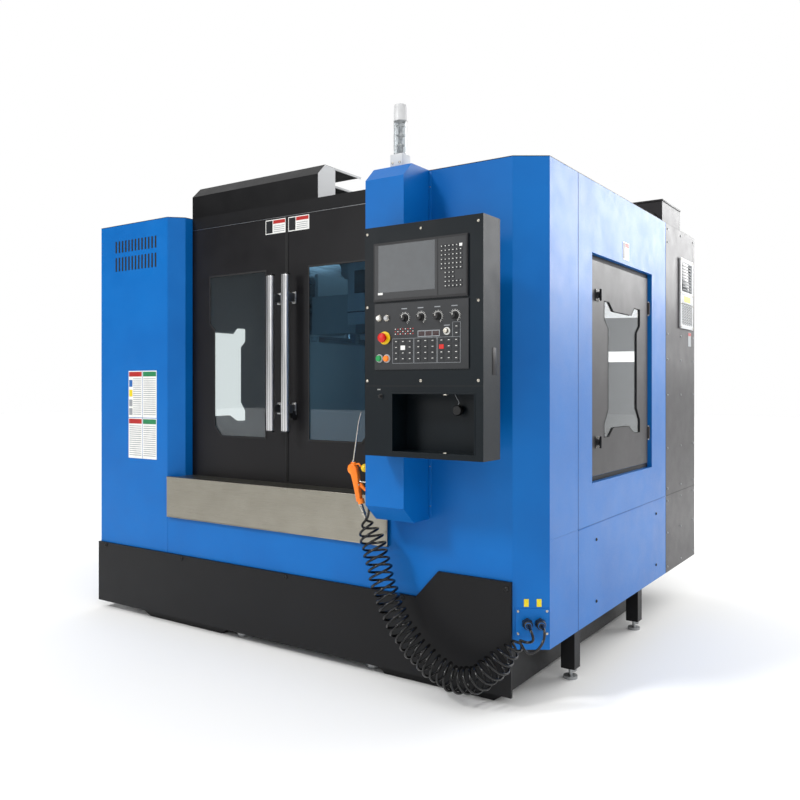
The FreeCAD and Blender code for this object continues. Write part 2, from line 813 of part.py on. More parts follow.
def side_door():
    """The hinged service door with its window and two turning latches."""
    outside = right - s.side_door_inset
    inside = outside - s.side_door_depth
    lip = s.bay_margin
    y0 = front + s.bay_front + lip
    y1 = front + s.bay_back - lip
    z0 = s.bay_low + lip
    z1 = bay_high - lip
    glass_y = (front + s.bay_front + s.side_glass_front_inset,
               front + s.bay_back - s.side_glass_back_inset)
    glass_z = (s.bay_low + s.side_glass_rise, bay_high - s.side_glass_drop)
    middle = (glass_z[0] + glass_z[1]) / 2
    tab = (glass_y[1] - glass_y[0]) / 8
    step = (glass_z[1] - glass_z[0]) / 16
    waist = (glass_z[1] - glass_z[0]) * 0.3
    window = [(glass_y[0], glass_z[0]), (glass_y[0] + tab, glass_z[0]),
              (glass_y[0] + tab * 1.9, glass_z[0] + step), (glass_y[1] - tab * 2.7, glass_z[0] + step),
              (glass_y[1] - tab * 1.4, glass_z[0]), (glass_y[1], glass_z[0]),
              (glass_y[1], glass_z[0] + step * 1.7), (glass_y[1] - tab * 0.8, middle - waist),
              (glass_y[1] - tab * 0.8, middle + waist), (glass_y[1], glass_z[1] - step * 2.2),
              (glass_y[1], glass_z[1]), (glass_y[1] - tab * 1.4, glass_z[1]),
              (glass_y[1] - tab * 2.1, glass_z[1] - step), (glass_y[0] + tab * 1.9, glass_z[1] - step),
              (glass_y[0] + tab, glass_z[1]), (glass_y[0], glass_z[1]),
              (glass_y[0], glass_z[1] - step * 2.2), (glass_y[0] + tab * 0.8, middle + waist),
              (glass_y[0] + tab * 0.8, middle - waist), (glass_y[0], glass_z[0] + step * 1.7)]
    leaf = prism("side_leaf", "YZ", inside, outside,
                 [(y0, z0), (y1, z0), (y1, z1), (y0, z1)], window)
    seat = prism("side_glass_seat", "YZ", inside - 1, inside + s.glass,
                 [(glass_y[0] - s.window_overlap, glass_z[0] - s.window_overlap),
                  (glass_y[1] + s.window_overlap, glass_z[0] - s.window_overlap),
                  (glass_y[1] + s.window_overlap, glass_z[1] + s.window_overlap),
                  (glass_y[0] - s.window_overlap, glass_z[1] + s.window_overlap)])
    leaf = cut("side_leaf_cut", leaf, seat)
    pin_y = y1 + s.barrel_radius
    pieces = [leaf]
    for z in (z0 + s.barrel_length * 2, z1 - s.barrel_length * 3):
        pieces.append(rod("side_barrel", s.barrel_radius, (outside, pin_y, z),
                          (outside, pin_y, z + s.barrel_length)))
        pieces.append(box("side_hinge_leaf", (inside, outside), (y1 - 1, pin_y),
                          (z, z + s.barrel_length)))
    sub_part("side_door", fuse("side_door", *pieces))
    sub_part("side_door_window", prism(
        "side_door_window", "YZ", inside, inside + s.glass,
        [(glass_y[0] - s.window_overlap, glass_z[0] - s.window_overlap),
         (glass_y[1] + s.window_overlap, glass_z[0] - s.window_overlap),
         (glass_y[1] + s.window_overlap, glass_z[1] + s.window_overlap),
         (glass_y[0] - s.window_overlap, glass_z[1] + s.window_overlap)]))
    for name, z in (("lower_latch", s.bay_low + s.latch_rise),
                    ("upper_latch", bay_high - s.latch_drop)):
        y = front + s.latch_place + s.bay_front
        start = outside + s.running_gap
        end = right + s.side_overhang
        boss = rod(name + "_boss", s.latch_radius, (start, y, z), (end - s.latch_radius / 2, y, z))
        wing = box(name + "_wing", (start + s.latch_radius / 2, end),
                   (y - s.latch_radius / 3, y + s.latch_radius / 3),
                   (z - s.latch_wing, z + s.latch_wing))
        sub_part(name, fuse(name, boss, wing))


def roof_and_boxes():
    """The roof in three sheets, the hood, the cable box and the cabinet cooler."""
    top = (under_roof, s.enclosure_top)
    y = front
    gap_left = -s.roof_left_edge
    gap_right = s.roof_right_edge
    left_wing = prism("roof_left", "XY", top[0], top[1],
                      [(left, y), (column_edge, y), (doorway_left, y + s.column_facet),
                       (doorway_left, door_plane), (gap_left, door_plane), (gap_left, back),
                       (left, back)])
    bridge = box("roof_bridge", (gap_left, gap_right), (door_plane, y + s.roof_gap_start), top)
    right_wing = prism("roof_right", "XY", top[0], top[1],
                       [(gap_right, door_plane), (doorway_right, door_plane), (doorway_right, y),
                        (corner_start, y), (right, y + s.corner_depth), (right, back),
                        (gap_right, back)])
    sub_part("roof_panels", group("roof_panels", left_wing, bridge, right_wing))
    sub_part("cable_box", box("cable_box", (s.cable_box_right - s.cable_box_width, s.cable_box_right),
                              (y + s.cable_box_front, y + s.cable_box_back),
                              (s.enclosure_top, s.enclosure_top + s.cable_box_high)))
    cooler_high = s.enclosure_top - s.cooler_drop
    sub_part("cabinet_cooler", box("cabinet_cooler", (right, right + s.cooler_proud),
                                   (y + s.cooler_front, y + s.cooler_back),
                                   (cooler_high - s.cooler_height, cooler_high)))
    low = s.enclosure_top
    high = low + s.hood_height
    y0 = y + s.hood_front
    bevel = s.hood_bevel
    inner_y = y0 + s.skin
    inner_z = high - s.skin
    hood_back = y + s.hood_back
    side_back = y + s.hood_side_back
    shell = prism("hood_shell", "YZ", -s.hood_left, s.hood_right,
                  [(y0, low), (y0, high - bevel), (y0 + bevel, high), (hood_back, high),
                   (hood_back, inner_z), (y0 + bevel + bend, inner_z),
                   (inner_y, high - bevel - bend), (inner_y, low)])
    cheek = [(y0, low), (side_back, low), (side_back, inner_z), (y0 + bevel, inner_z),
             (y0, high - bevel)]
    cheeks = [prism("hood_left_cheek", "YZ", -s.hood_left, s.skin - s.hood_left, cheek),
              prism("hood_right_cheek", "YZ", s.hood_right - s.skin, s.hood_right, cheek)]
    shelf = box("hood_shelf", (-s.hood_left, s.hood_right), (inner_y - 1, side_back),
                (low + s.hood_shelf - s.skin, low + s.hood_shelf))
    sub_part("top_hood", fuse("top_hood", shell, *cheeks, shelf))


def cowl_outline(inset):
    """The cowl's side outline, drawn in by an inset."""
    face = front - s.cowl_reach + inset
    low = s.cowl_low + inset
    high = s.enclosure_top - inset
    return [(front, low), (face + s.cowl_chin, low), (face, low + s.cowl_chin_height),
            (face, high - s.cowl_bevel), (face + s.cowl_bevel, high), (front, high)]


def cowl_and_lamp():
    """The beam that carries the pendant, and the signal lamp on top of it."""
    outer = prism("cowl_outer", "YZ", s.cowl_left, s.cowl_right, cowl_outline(Size(0)))
    inner = prism("cowl_inner", "YZ", s.cowl_left + s.skin, s.cowl_right - s.skin,
                  cowl_outline(s.skin))
    sub_part("arm_cowl", cut("arm_cowl", outer, inner))
    x = s.cowl_left + s.lamp_inset
    y = front - s.lamp_reach
    half = s.lamp_base / 2
    z = s.enclosure_top
    base_top = z + s.lamp_base_height
    tube_top = base_top + s.lamp_tube
    sub_part("signal_lamp", fuse(
        "signal_lamp",
        box("lamp_base", (x - half, x + half), (y - half, y + half), (z, base_top)),
        rod("lamp_tube", s.lamp_radius, (x, y, base_top - 1), (x, y, tube_top)),
        rod("lamp_cap", s.lamp_radius, (x, y, tube_top - 1), (x, y, tube_top + s.lamp_cap),
            s.lamp_cap_radius)))


# Places on the key panel, from its lower left corner.
CONTROLS = (
    ("power_on_button", 21, 191, 8),
    ("power_off_button", 56, 190, 8),
    ("start_button", 23, 42, 11),
    ("hold_button", 56, 41, 11),
)
STOP = (47, 117)
KNOBS = (("mode_knob", 135), ("rapid_knob", 205), ("feed_knob", 276), ("speed_knob", 346))
KNOB_HEIGHT = 186
KEY_SWITCH = (313, 133)


def on_keys(name, radius, out, across, up, inside):
    """A round bar on the key panel, from inside the pendant out in front of the panel."""
    x = keys_left + across
    z = keys_low + up
    return rod(name, radius, (x, inside, z), (x, out, z))


def pendant():
    """The swivelling operator box with its screen, key panel and controls."""
    rear = front - s.cowl_reach - s.pendant_gap
    face = rear - s.pendant_depth
    wall = s.skin
    x = pendant_x
    z = (pendant_low, pendant_high)
    outer = box("pendant_outer", x, (face, rear), z)
    hollow = box("pendant_hollow", (x[0] + wall, x[1] - wall), (face + wall, rear - wall),
                 (z[0] + wall, z[1] - wall))
    slot = box("pendant_cable_slot", (x[0] + wall * 15, x[0] + wall * 25), (rear - wall - 1, rear + 1),
               ((z[0] + z[1]) / 2, (z[0] + z[1]) / 2 + wall * 50))
    shell = cut("pendant_shell", outer, hollow, slot)
    cubby_x = (x[0] + s.cubby_left_wall, x[1] - s.cubby_right_wall)
    cubby_z = (z[0] + s.cubby_rise, z[0] + s.cubby_rise + s.cubby_height)
    floor_y = face + s.cubby_depth
    tray = box("cubby_tray", (cubby_x[0] - wall, cubby_x[1] + wall), (face + 1, floor_y + wall),
               (cubby_z[0] - wall, cubby_z[1] + wall))
    mouth = box("cubby_mouth", cubby_x, (face - 1, floor_y), cubby_z)
    pin = (x[0] - s.hinge_radius + wall, rear - s.hinge_radius + wall)
    barrels = []
    for low in (z[0] + s.hinge_inset, z[1] - s.hinge_inset - s.hinge_length):
        barrels.append(rod("pendant_barrel", s.hinge_radius, (pin[0], pin[1], low),
                           (pin[0], pin[1], low + s.hinge_length)))
    drilled = panel_holes(face)
    sub_part("pendant_box", cut("pendant_box", fuse("pendant_solid", shell, tray, *barrels),
                                mouth, drilled))
    display_left = x[0] + s.display_inset
    display_high = z[1] - s.display_drop
    sub_part("display_unit", box("display_unit", (display_left, display_left + s.display_width),
                                 (face - s.display_proud, face),
                                 (display_high - s.display_height, display_high)))
    plate = box("keys_plate", (keys_left, keys_left + s.keys_width), (face - s.keys_proud, face),
                (keys_low, keys_high))
    sub_part("key_panel", cut("key_panel", plate, drilled))
    panel_controls(face + s.button_inside, face - s.keys_proud)


def panel_holes(face):
    """The clearance holes that the controls pass through."""
    inside = face + s.skin + 1
    out = face - s.button_inside
    gap = s.running_gap
    holes = [on_keys(name + "_hole", radius + gap, out, across, up, inside)
             for name, across, up, radius in CONTROLS]
    holes.append(on_keys("stop_hole", s.stop_stem + gap, out, *STOP, inside))
    for name, across in KNOBS:
        holes.append(on_keys(name + "_hole", s.knob_shaft + gap, out, across, KNOB_HEIGHT, inside))
    holes.append(on_keys("key_hole", s.knob_shaft + gap, out, *KEY_SWITCH, inside))
    return fuse("panel_holes", *holes)


def panel_controls(inside, panel):
    """The buttons, the mushroom-headed stop, the knobs and the key switch."""
    for name, across, up, radius in CONTROLS:
        sub_part(name, on_keys(name, radius, panel - s.button_proud, across, up, inside))
    under_head = panel - s.stop_stem_proud
    stem = on_keys("stop_stem", s.stop_stem, under_head, *STOP, inside)
    head = on_keys("stop_head", s.stop_radius, panel - s.stop_proud, *STOP, under_head + 1)
    sub_part("emergency_stop", fuse("emergency_stop", stem, head))
    turned = [(name, across, KNOB_HEIGHT, s.knob_radius, s.knob_proud) for name, across in KNOBS]
    turned.append(("key_switch", *KEY_SWITCH, s.key_switch_radius, s.button_proud))
    for name, across, up, radius, proud in turned:
        cap = on_keys(name + "_cap", radius, panel - proud, across, up, panel - s.running_gap)
        shaft = on_keys(name + "_shaft", s.knob_shaft, panel - 1, across, up, inside)
        sub_part(name, fuse(name, cap, shaft))


def feet_legs_and_tanks():
    """What stands on the floor: bed pads, legs with feet, and the two coolant tanks."""
    x = s.spindle_x
    feet = []
    for foot_x in (x - s.pad_place, x + s.pad_place):
        for foot_y in bed_feet():
            pad = rod("bed_pad", s.pad_radius, (foot_x, foot_y, 0), (foot_x, foot_y, s.pad_height))
            stud = rod("bed_stud", s.pad_stud, (foot_x, foot_y, s.pad_height - 1),
                       (foot_x, foot_y, s.pad_height * 2))
            feet.append(fuse("bed_foot", pad, stud))
    sides = []
    for side in (-1, 1):
        outer = right - s.leg_inset
        span = (outer - s.leg_width, outer) if side > 0 else (-outer, s.leg_width - outer)
        tubes = []
        for leg_y in (front + s.front_leg, front + s.rear_leg):
            tubes.append(box("leg", span, (leg_y - s.leg_width / 2, leg_y + s.leg_width / 2),
                             (s.leg_low, s.rail_high)))
            centre = (outer - s.leg_width / 2) * side
            pad = rod("leg_pad", s.foot_radius, (centre, leg_y, 0), (centre, leg_y, s.foot_height))
            stud = rod("leg_stud", s.foot_stud, (centre, leg_y, s.foot_height - 1),
                       (centre, leg_y, s.leg_low))
            feet.append(fuse("leg_foot", pad, stud))
            bed_side = x + s.bed_width / 2 * side
            beam = (bed_side, outer - s.leg_width + 1) if side > 0 else (s.leg_width - outer - 1, bed_side)
            tubes.append(box("cross_beam", beam, (leg_y - s.leg_width / 2, leg_y + s.leg_width / 2),
                             (s.rail_low, s.rail_high)))
        rail = (outer - s.leg_width, right - s.skin) if side > 0 else (left + s.skin, s.leg_width - outer)
        tubes.append(box("side_rail", rail, (front + s.corner_depth + s.skin, front + s.side_panel_end),
                         (s.rail_low, s.rail_high)))
        sides.append(fuse("leg_frame", *tubes))
    sub_part("enclosure_legs", group("enclosure_legs", *sides))
    sub_part("levelling_feet", group("levelling_feet", *feet))
    tanks = []
    beside_bed = s.bed_width / 2 + s.tank_gap
    for name, start, end, foot, toe in (
            ("left_tank", s.left_tank_start, x - beside_bed, s.left_tank_foot, s.left_tank_toe),
            ("right_tank", x + beside_bed, s.right_tank_end, s.right_tank_foot, s.right_tank_toe)):
        tanks.append(prism(name, "XZ", front + s.tank_front, front + s.tank_back,
                           [(start + foot, 0), (end - toe, 0), (end, s.tank_step),
                            (end, s.tank_top), (start, s.tank_top), (start, s.tank_step)]))
    sub_part("coolant_tanks", group("coolant_tanks", *tanks))


def corner_point(along, out):
    """A point on the sloping corner, a distance along it and out from it."""
    length = root(s.corner_width * s.corner_width + s.corner_depth * s.corner_depth)
    across = s.corner_width / length
    deep = s.corner_depth / length
    return (corner_start + across * along + deep * out, front + deep * along - across * out)


GUN_BODY = ((535, 738), (562, 732), (548, 800), (541, 850), (535, 880), (512, 892), (492, 880),
            (490, 855), (505, 838), (520, 800))
NOZZLE = ((514, 885), (545, 1072), (557, 1108))
FITTING = ((549, 737), (579, 672))
TRIGGER = ((550, 803), (555, 812), (583, 786), (578, 780))
TRIGGER_PIN = (551, 808)
HOOK_END = 546.5


def air_line():
    """The gland plate on the corner, the blow gun, its trigger and hook, and the hose valve."""
    plate = prism("gland_sheet", "XY", s.gland_plate_low, s.gland_plate_high,
                  [corner_point(s.gland_plate_start, 0), corner_point(s.gland_plate_end, 0),
                   corner_point(s.gland_plate_end, s.skin), corner_point(s.gland_plate_start, s.skin)])
    glands = []
    for along in (s.gland_first, s.gland_second):
        inner = corner_point(along, s.skin / 2)
        outer = corner_point(along, s.gland_length)
        glands.append(rod("gland", s.gland_radius, (*inner, s.gland_height), (*outer, s.gland_height)))
    sub_part("gland_plate", fuse("gland_plate", plate, *glands))
    y = front - s.gun_reach
    half = s.gun_half_width
    body = prism("gun_body", "XZ", y - half, y + half, GUN_BODY)
    tube = rod("gun_nozzle", s.nozzle_radius, (NOZZLE[0][0], y, NOZZLE[0][1]),
               (NOZZLE[1][0], y, NOZZLE[1][1]))
    tip = rod("gun_tip", s.nozzle_radius * 0.9, (NOZZLE[1][0] - 0.4, y, NOZZLE[1][1] - 3),
              (NOZZLE[2][0], y, NOZZLE[2][1]), s.nozzle_radius * 0.6)
    fitting = rod("gun_fitting", s.fitting_radius, (FITTING[0][0], y, FITTING[0][1]),
                  (FITTING[1][0], y, FITTING[1][1]), s.fitting_radius * 0.8)
    sub_part("air_gun", fuse("air_gun", body, tube, tip, fitting))
    lever = prism("trigger_lever", "XZ", y - half / 2, y + half / 2, TRIGGER)
    pin = rod("trigger_pin", 3.5, (TRIGGER_PIN[0], y - half / 2, TRIGGER_PIN[1]),
              (TRIGGER_PIN[0], y + half / 2, TRIGGER_PIN[1]))
    sub_part("air_gun_trigger", fuse("air_gun_trigger", lever, pin))
    hook = rod("gun_hook", s.hook_radius, (s.cowl_left, y, s.hook_height),
               (HOOK_END, y, s.hook_height))
    x, y, z = spigot_top()
    valve = rod("valve_body", s.valve_radius, (s.cowl_left, y, z),
                (s.cowl_left - s.valve_length, y, z))
    spigot = rod("valve_spigot", s.spigot_radius, (x, y, z), (x, y, z - s.spigot_drop))
    sub_part("hook_and_valve", group("hook_and_valve", hook, fuse("hose_valve", valve, spigot)))


def spigot_top():
    """The middle of the valve beside the gun, which the second hose hangs from."""
    return (s.cowl_left - s.valve_length / 2, front - s.valve_reach, s.valve_height)


# The middle of the coiled hose, by X, distance in front of the enclosure, and Z.
COIL_ROUTE = (
    (587, 104, 655), (628, 110, 571), (657, 112, 481), (686, 114, 392), (727, 114, 308),
    (786, 114, 229), (866, 114, 163), (956, 113, 116), (1034, 111, 101), (1108, 107, 124),
    (1167, 101, 180), (1217, 88, 233), (1256, 66, 280),
)


def rounded_path(points):
    """Straight runs joined by tangent arcs, each as large as its two runs allow."""
    edges = []
    radii = []
    start = points[0]
    for before, corner, after in zip(points, points[1:], points[2:]):
        into = corner - before
        out = after - corner
        turn = into.getAngle(out)
        cut_back = 0.45 * min(into.Length, out.Length)
        radii.append(cut_back / math.tan(turn / 2))
        into.normalize()
        out.normalize()
        begin = corner - into * cut_back
        finish = corner + out * cut_back
        bisector = (out - into)
        bisector.normalize()
        middle = corner + bisector * (radii[-1] / math.cos(turn / 2) - radii[-1])
        edges.append(Part.LineSegment(start, begin).toShape())
        edges.append(Part.Arc(begin, middle, finish).toShape())
        start = finish
    edges.append(Part.LineSegment(start, points[-1]).toShape())
    return Part.Wire(edges), radii


def coiled_hose():
    """The outer shape of the coiled air hoses, with the short tails at its ends."""
    points = [V(x, front.value - y, z) for x, y, z in COIL_ROUTE]
    path, radii = rounded_path(points)
    direction = points[1] - points[0]
    radius = SIZES["coil_radius"]
    ring = Part.Wire([Part.Circle(points[0], direction, radius).toShape()])
    tube = path.makePipeShell([ring], True, False)
    expected = math.pi * radius**2 * path.Length
    print("coil radii", [round(r) for r in radii])
    print("coil length", round(path.Length), "volume over section times length",
          round(tube.Volume / expected, 4))
    tails = []
    for along in (s.gland_first, s.gland_second):
        x, y = corner_point(along, s.gland_length - 4)
        start = V(x.value, y.value, SIZES["gland_height"])
        end = points[-1] - (points[-1] - points[-2]) * 0.2
        tails.append(tail(start, end))
    gun_end = V(FITTING[1][0], front.value - SIZES["gun_reach"], FITTING[1][1] + 3)
    valve_end = V(*[size_of(place).value for place in spigot_top()])
    valve_end.z += 3 - SIZES["spigot_drop"]
    for start in (gun_end, valve_end):
        tails.append(tail(start, points[0] + direction * 0.2))
    hose = DOC.addObject("Part::Feature", "hose_coil")
    hose.Shape = tube.multiFuse(tails)
    sub_part("hose_coil", hose)


def tail(start, end):
    """A short straight length of the hose itself."""
    return Part.makeCylinder(SIZES["hose_radius"], (end - start).Length, start, end - start)


bed_and_column()
table_and_saddle()
spindle_head()
tool_changer()
enclosure_front()
sill_and_skirt()
sliding_door("left_door", -1)
sliding_door("right_door", 1)
side_panels()
side_door()
roof_and_boxes()
cowl_and_lamp()
pendant()
feet_legs_and_tanks()
air_line()
coiled_hose()

DOC.recompute()
for thing in DOC.Objects:
    if "Invalid" in thing.State or "Error" in thing.State:
        raise RuntimeError(f"{thing.Name} failed: {thing.State}")
for label, thing in PARTS.items():
    if thing.Shape.isNull() or not thing.Shape.isValid():
        raise RuntimeError(f"{label} has no valid shape")

os.makedirs("parts", exist_ok=True)
for label, thing in PARTS.items():
    thing.Shape.exportStep(os.path.join("parts", label + ".step"))
print(len(PARTS), "sub-parts written")
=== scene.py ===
"""The looks of a vertical machining centre, built around its packed construction.

Everything is in metres. The floor is at z = 0, +X is the operator's right and +Y the back.
Each section makes the pieces of one part of the machine, and each material is named for the
real one that it stands for.
"""
import math

import bmesh
import bpy
from mathutils import Matrix, Vector


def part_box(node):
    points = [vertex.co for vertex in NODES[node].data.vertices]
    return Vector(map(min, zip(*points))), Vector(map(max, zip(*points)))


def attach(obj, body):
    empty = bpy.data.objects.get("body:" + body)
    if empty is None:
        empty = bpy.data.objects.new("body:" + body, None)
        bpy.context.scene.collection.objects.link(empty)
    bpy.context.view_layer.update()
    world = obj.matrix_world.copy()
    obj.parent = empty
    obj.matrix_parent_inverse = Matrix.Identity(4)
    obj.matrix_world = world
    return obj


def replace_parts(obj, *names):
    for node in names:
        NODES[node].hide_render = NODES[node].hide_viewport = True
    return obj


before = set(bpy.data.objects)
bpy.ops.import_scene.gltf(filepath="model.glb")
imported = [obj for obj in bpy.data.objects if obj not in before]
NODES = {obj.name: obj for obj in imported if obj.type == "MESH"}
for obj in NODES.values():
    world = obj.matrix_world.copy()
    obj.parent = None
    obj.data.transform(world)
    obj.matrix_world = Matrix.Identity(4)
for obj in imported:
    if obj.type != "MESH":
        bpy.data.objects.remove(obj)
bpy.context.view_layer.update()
MM = 0.001

# The planes and edges of the enclosure that pieces line up with.
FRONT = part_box("front_apron")[0].y
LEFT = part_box("left_side_panels")[0].x
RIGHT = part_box("right_side_panels")[1].x
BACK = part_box("rear_panels")[1].y
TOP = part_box("roof_panels")[1].z
# Faces that many pieces sit on, in millimetres out from the front plane.
DOOR = -113
PENDANT = 309
KEYS = 314
DISPLAY = 316
# The seam between the doors, across, and the spindle's middle, across and out from the front.
SEAM = -44
SPINDLE = (99, -800)
ACROSS = Vector((1, 0, 0))
OUT = Vector((0, -1, 0))
UP = Vector((0, 0, 1))
# Points closer than this, in metres, are merged.
DOUBLE = 0.00002


# ---------------------------------------------------------------- colours, nodes and finishes


def paint(code):
    """A hex colour as linear red, green, blue and alpha."""
    parts = [int(code[i : i + 2], 16) / 255 for i in (0, 2, 4)]
    return [c / 12.92 if c <= 0.04045 else ((c + 0.055) / 1.055) ** 2.4 for c in parts] + [1.0]


def grey(level):
    """One level as a colour, for a ramp that gives a roughness or a height."""
    return [level, level, level, 1.0]


def add(tree, kind, links=(), gives=0, stops=(), **settings):
    """A node with its settings, its ramp's stops and its sockets; gives one of its outputs."""
    made = tree.nodes.new(kind)
    for name, value in settings.items():
        setattr(made, name, value)
    for number, (position, colour) in enumerate(stops):
        made.color_ramp.elements[number].position = position
        made.color_ramp.elements[number].color = colour
    for socket, source in dict(links).items():
        if isinstance(source, bpy.types.NodeSocket):
            tree.links.new(source, made.inputs[socket])
        else:
            made.inputs[socket].default_value = source
    return made.outputs[gives]


def started(name, **sockets):
    """A new material with its tree, its main shader and its Object coordinates."""
    material = bpy.data.materials.new(name)
    material.use_nodes = True
    tree = material.node_tree
    shader = tree.nodes["Principled BSDF"]
    for socket, value in sockets.items():
        shader.inputs[socket.replace("_", " ")].default_value = value
    return material, tree, shader, add(tree, "ShaderNodeTexCoord", gives="Object")


def powder_coat(name, code, lighter, rough, peel, depth, sheen=0.24):
    """Stoved powder coat on folded sheet: even colour, with a fine orange-peel skin that
    softens every reflection. peel is the width of its dimples in metres."""
    material, tree, shader, place = started(name, IOR=1.5, Specular_IOR_Level=sheen)
    drift = add(tree, "ShaderNodeTexNoise", {"Vector": place, "Scale": 3, "Detail": 3})
    colour = add(tree, "ShaderNodeValToRGB", {"Fac": drift},
                 stops=((0.3, paint(code)), (0.7, paint(lighter))))
    tree.links.new(colour, shader.inputs["Base Color"])
    wipes = add(tree, "ShaderNodeTexNoise", {"Vector": place, "Scale": 12, "Detail": 4})
    gloss = add(tree, "ShaderNodeValToRGB", {"Fac": wipes},
                stops=((0.25, grey(rough - 0.04)), (0.75, grey(rough + 0.05))))
    tree.links.new(gloss, shader.inputs["Roughness"])
    skin = add(tree, "ShaderNodeTexNoise", {"Vector": place, "Scale": 1 / peel, "Detail": 3})
    bump = add(tree, "ShaderNodeBump", {"Height": skin, "Distance": depth})
    tree.links.new(bump, shader.inputs["Normal"])
    return material


def brushed(name, code, lighter, rough, along, line=0.003):
    """Brushed or ground metal: lines along one axis, a line's width in metres, that vary its
    tone and drag the gloss out across them."""
    material, tree, shader, place = started(name, Metallic=1.0)
    stretch = [1 / line] * 3
    stretch[along] = 1 / (line * 90)
    laid = add(tree, "ShaderNodeMapping", {"Vector": place, "Scale": stretch})
    lines = add(tree, "ShaderNodeTexNoise", {"Vector": laid, "Scale": 1, "Detail": 4})
    clouds = add(tree, "ShaderNodeTexNoise", {"Vector": place, "Scale": 8, "Detail": 3})
    tone = add(tree, "ShaderNodeMix", {"Factor": 0.4, "A": lines, "B": clouds})
    colour = add(tree, "ShaderNodeValToRGB", {"Fac": tone},
                 stops=((0.3, paint(code)), (0.7, paint(lighter))))
    tree.links.new(colour, shader.inputs["Base Color"])
    gloss = add(tree, "ShaderNodeValToRGB", {"Fac": lines},
                stops=((0.3, grey(rough - 0.07)), (0.7, grey(rough + 0.08))))
    tree.links.new(gloss, shader.inputs["Roughness"])
    bump = add(tree, "ShaderNodeBump", {"Height": lines, "Distance": 0.00004, "Strength": 0.6})
    tree.links.new(bump, shader.inputs["Normal"])
    return material


def moulded(name, code, lighter, rough, grain=0.0014, depth=0.00003):
    """Injection-moulded plastic or rubber: nearly even, with a faint spark-eroded skin."""
    material, tree, shader, place = started(name, IOR=1.46)
    drift = add(tree, "ShaderNodeTexNoise", {"Vector": place, "Scale": 30, "Detail": 3})
    colour = add(tree, "ShaderNodeValToRGB", {"Fac": drift},
                 stops=((0.3, paint(code)), (0.7, paint(lighter))))
    tree.links.new(colour, shader.inputs["Base Color"])
    skin = add(tree, "ShaderNodeTexNoise", {"Vector": place, "Scale": 1 / grain, "Detail": 2})
    gloss = add(tree, "ShaderNodeValToRGB", {"Fac": skin},
                stops=((0.3, grey(rough - 0.04)), (0.7, grey(rough + 0.04))))
    tree.links.new(gloss, shader.inputs["Roughness"])
    bump = add(tree, "ShaderNodeBump", {"Height": skin, "Distance": depth})
    tree.links.new(bump, shader.inputs["Normal"])
    return material


def lit(name, code, strength):
    """A lit diffuser or segment, or a film glowing with painted light: its own colour, shining,
    under a smear of wear.
    """
    material, tree, shader, place = started(name, IOR=1.46)
    shader.inputs["Base Color"].default_value = paint(code)
    shader.inputs["Emission Color"].default_value = paint(code)
    shader.inputs["Emission Strength"].default_value = strength
    smear = add(tree, "ShaderNodeTexNoise", {"Vector": place, "Scale": 60, "Detail": 2})
    gloss = add(tree, "ShaderNodeValToRGB", {"Fac": smear},
                stops=((0.3, grey(0.25)), (0.7, grey(0.4))))
    tree.links.new(gloss, shader.inputs["Roughness"])
    return material


def clear_sheet(name, code, rough, through):
    """Polycarbonate, acrylic or glass: tinted and clear, with a haze of dried coolant."""
    material, tree, shader, place = started(name, IOR=1.5)
    shader.inputs["Transmission Weight"].default_value = through
    shader.inputs["Base Color"].default_value = paint(code)
    dried = add(tree, "ShaderNodeTexNoise", {"Vector": place, "Scale": 16, "Detail": 5})
    gloss = add(tree, "ShaderNodeValToRGB", {"Fac": dried},
                stops=((0.45, grey(rough)), (0.85, grey(rough + 0.05))))
    tree.links.new(gloss, shader.inputs["Roughness"])
    return material


# Stoved powder coat, semi-gloss blue: saturated, with a soft sheen on its folds.
BLUE = powder_coat("powder_coated_steel_blue", "0061AF", "026ABA", 0.4, 0.0026, 0.0003)
# The side sheets' coat has kept more of its sheen than the front's.
SIDE_BLUE = powder_coat("powder_coated_steel_blue_side", "0061AF", "026ABA", 0.38, 0.0026, 0.0003,
                        0.48)
# Textured powder coat: nearly black, its fine sand grain makes a grey sheen at a low angle.
BLACK = powder_coat("powder_coated_steel_black_textured", "0F0F11", "131315", 0.42, 0.0022, 0.0003)
# The doors' coat is finer and smoother.
DOOR_BLACK = powder_coat("powder_coated_steel_black_satin", "141315", "19181A", 0.38, 0.002, 0.0001)
# The pendant's coat has a trace of blue in its black.
PENDANT_BLACK = powder_coat("powder_coated_steel_blue_black", "040C12", "081319", 0.4, 0.0022,
                            0.0003)
# Textured coats in dark grey and pale grey: dull, with soft edges to their reflections.
GREY = powder_coat("powder_coated_steel_grey_textured", "2F2E30", "383638", 0.36, 0.0022, 0.0002)
PALE = powder_coat("powder_coated_steel_pale_grey", "C6C8CA", "D2D4D6", 0.4, 0.002, 0.00008)
# Enamel over rough cast iron: a thick skin over the sand's lumps.
CASTING = powder_coat("enamelled_cast_iron", "A9AEB0", "B4B9BB", 0.5, 0.006, 0.0004)
# Baked enamel on the chamber's folded liners: pale and wipeable.
LINER = powder_coat("enamelled_chamber_liner", "C9CED2", "D4D8DB", 0.38, 0.004, 0.0001)
# Brushed stainless, its lines along the sill.
STAINLESS = brushed("brushed_stainless_steel", "8F8B80", "A39F94", 0.32, 0, 0.0014)
# Stainless and ground steel inside the machine, their lines up or along the travel.
LINER_STAINLESS = brushed("brushed_stainless_liner", "A5A8AA", "C3C6C8", 0.36, 2)
GROUND = brushed("ground_steel", "9DA0A3", "B9BBBD", 0.3, 1)
# Anodised extrusion: even, silky, its die lines run up the bar.
ANODISED = brushed("anodised_aluminium", "C3C4C5", "D6D6D7", 0.36, 2, 0.0016)
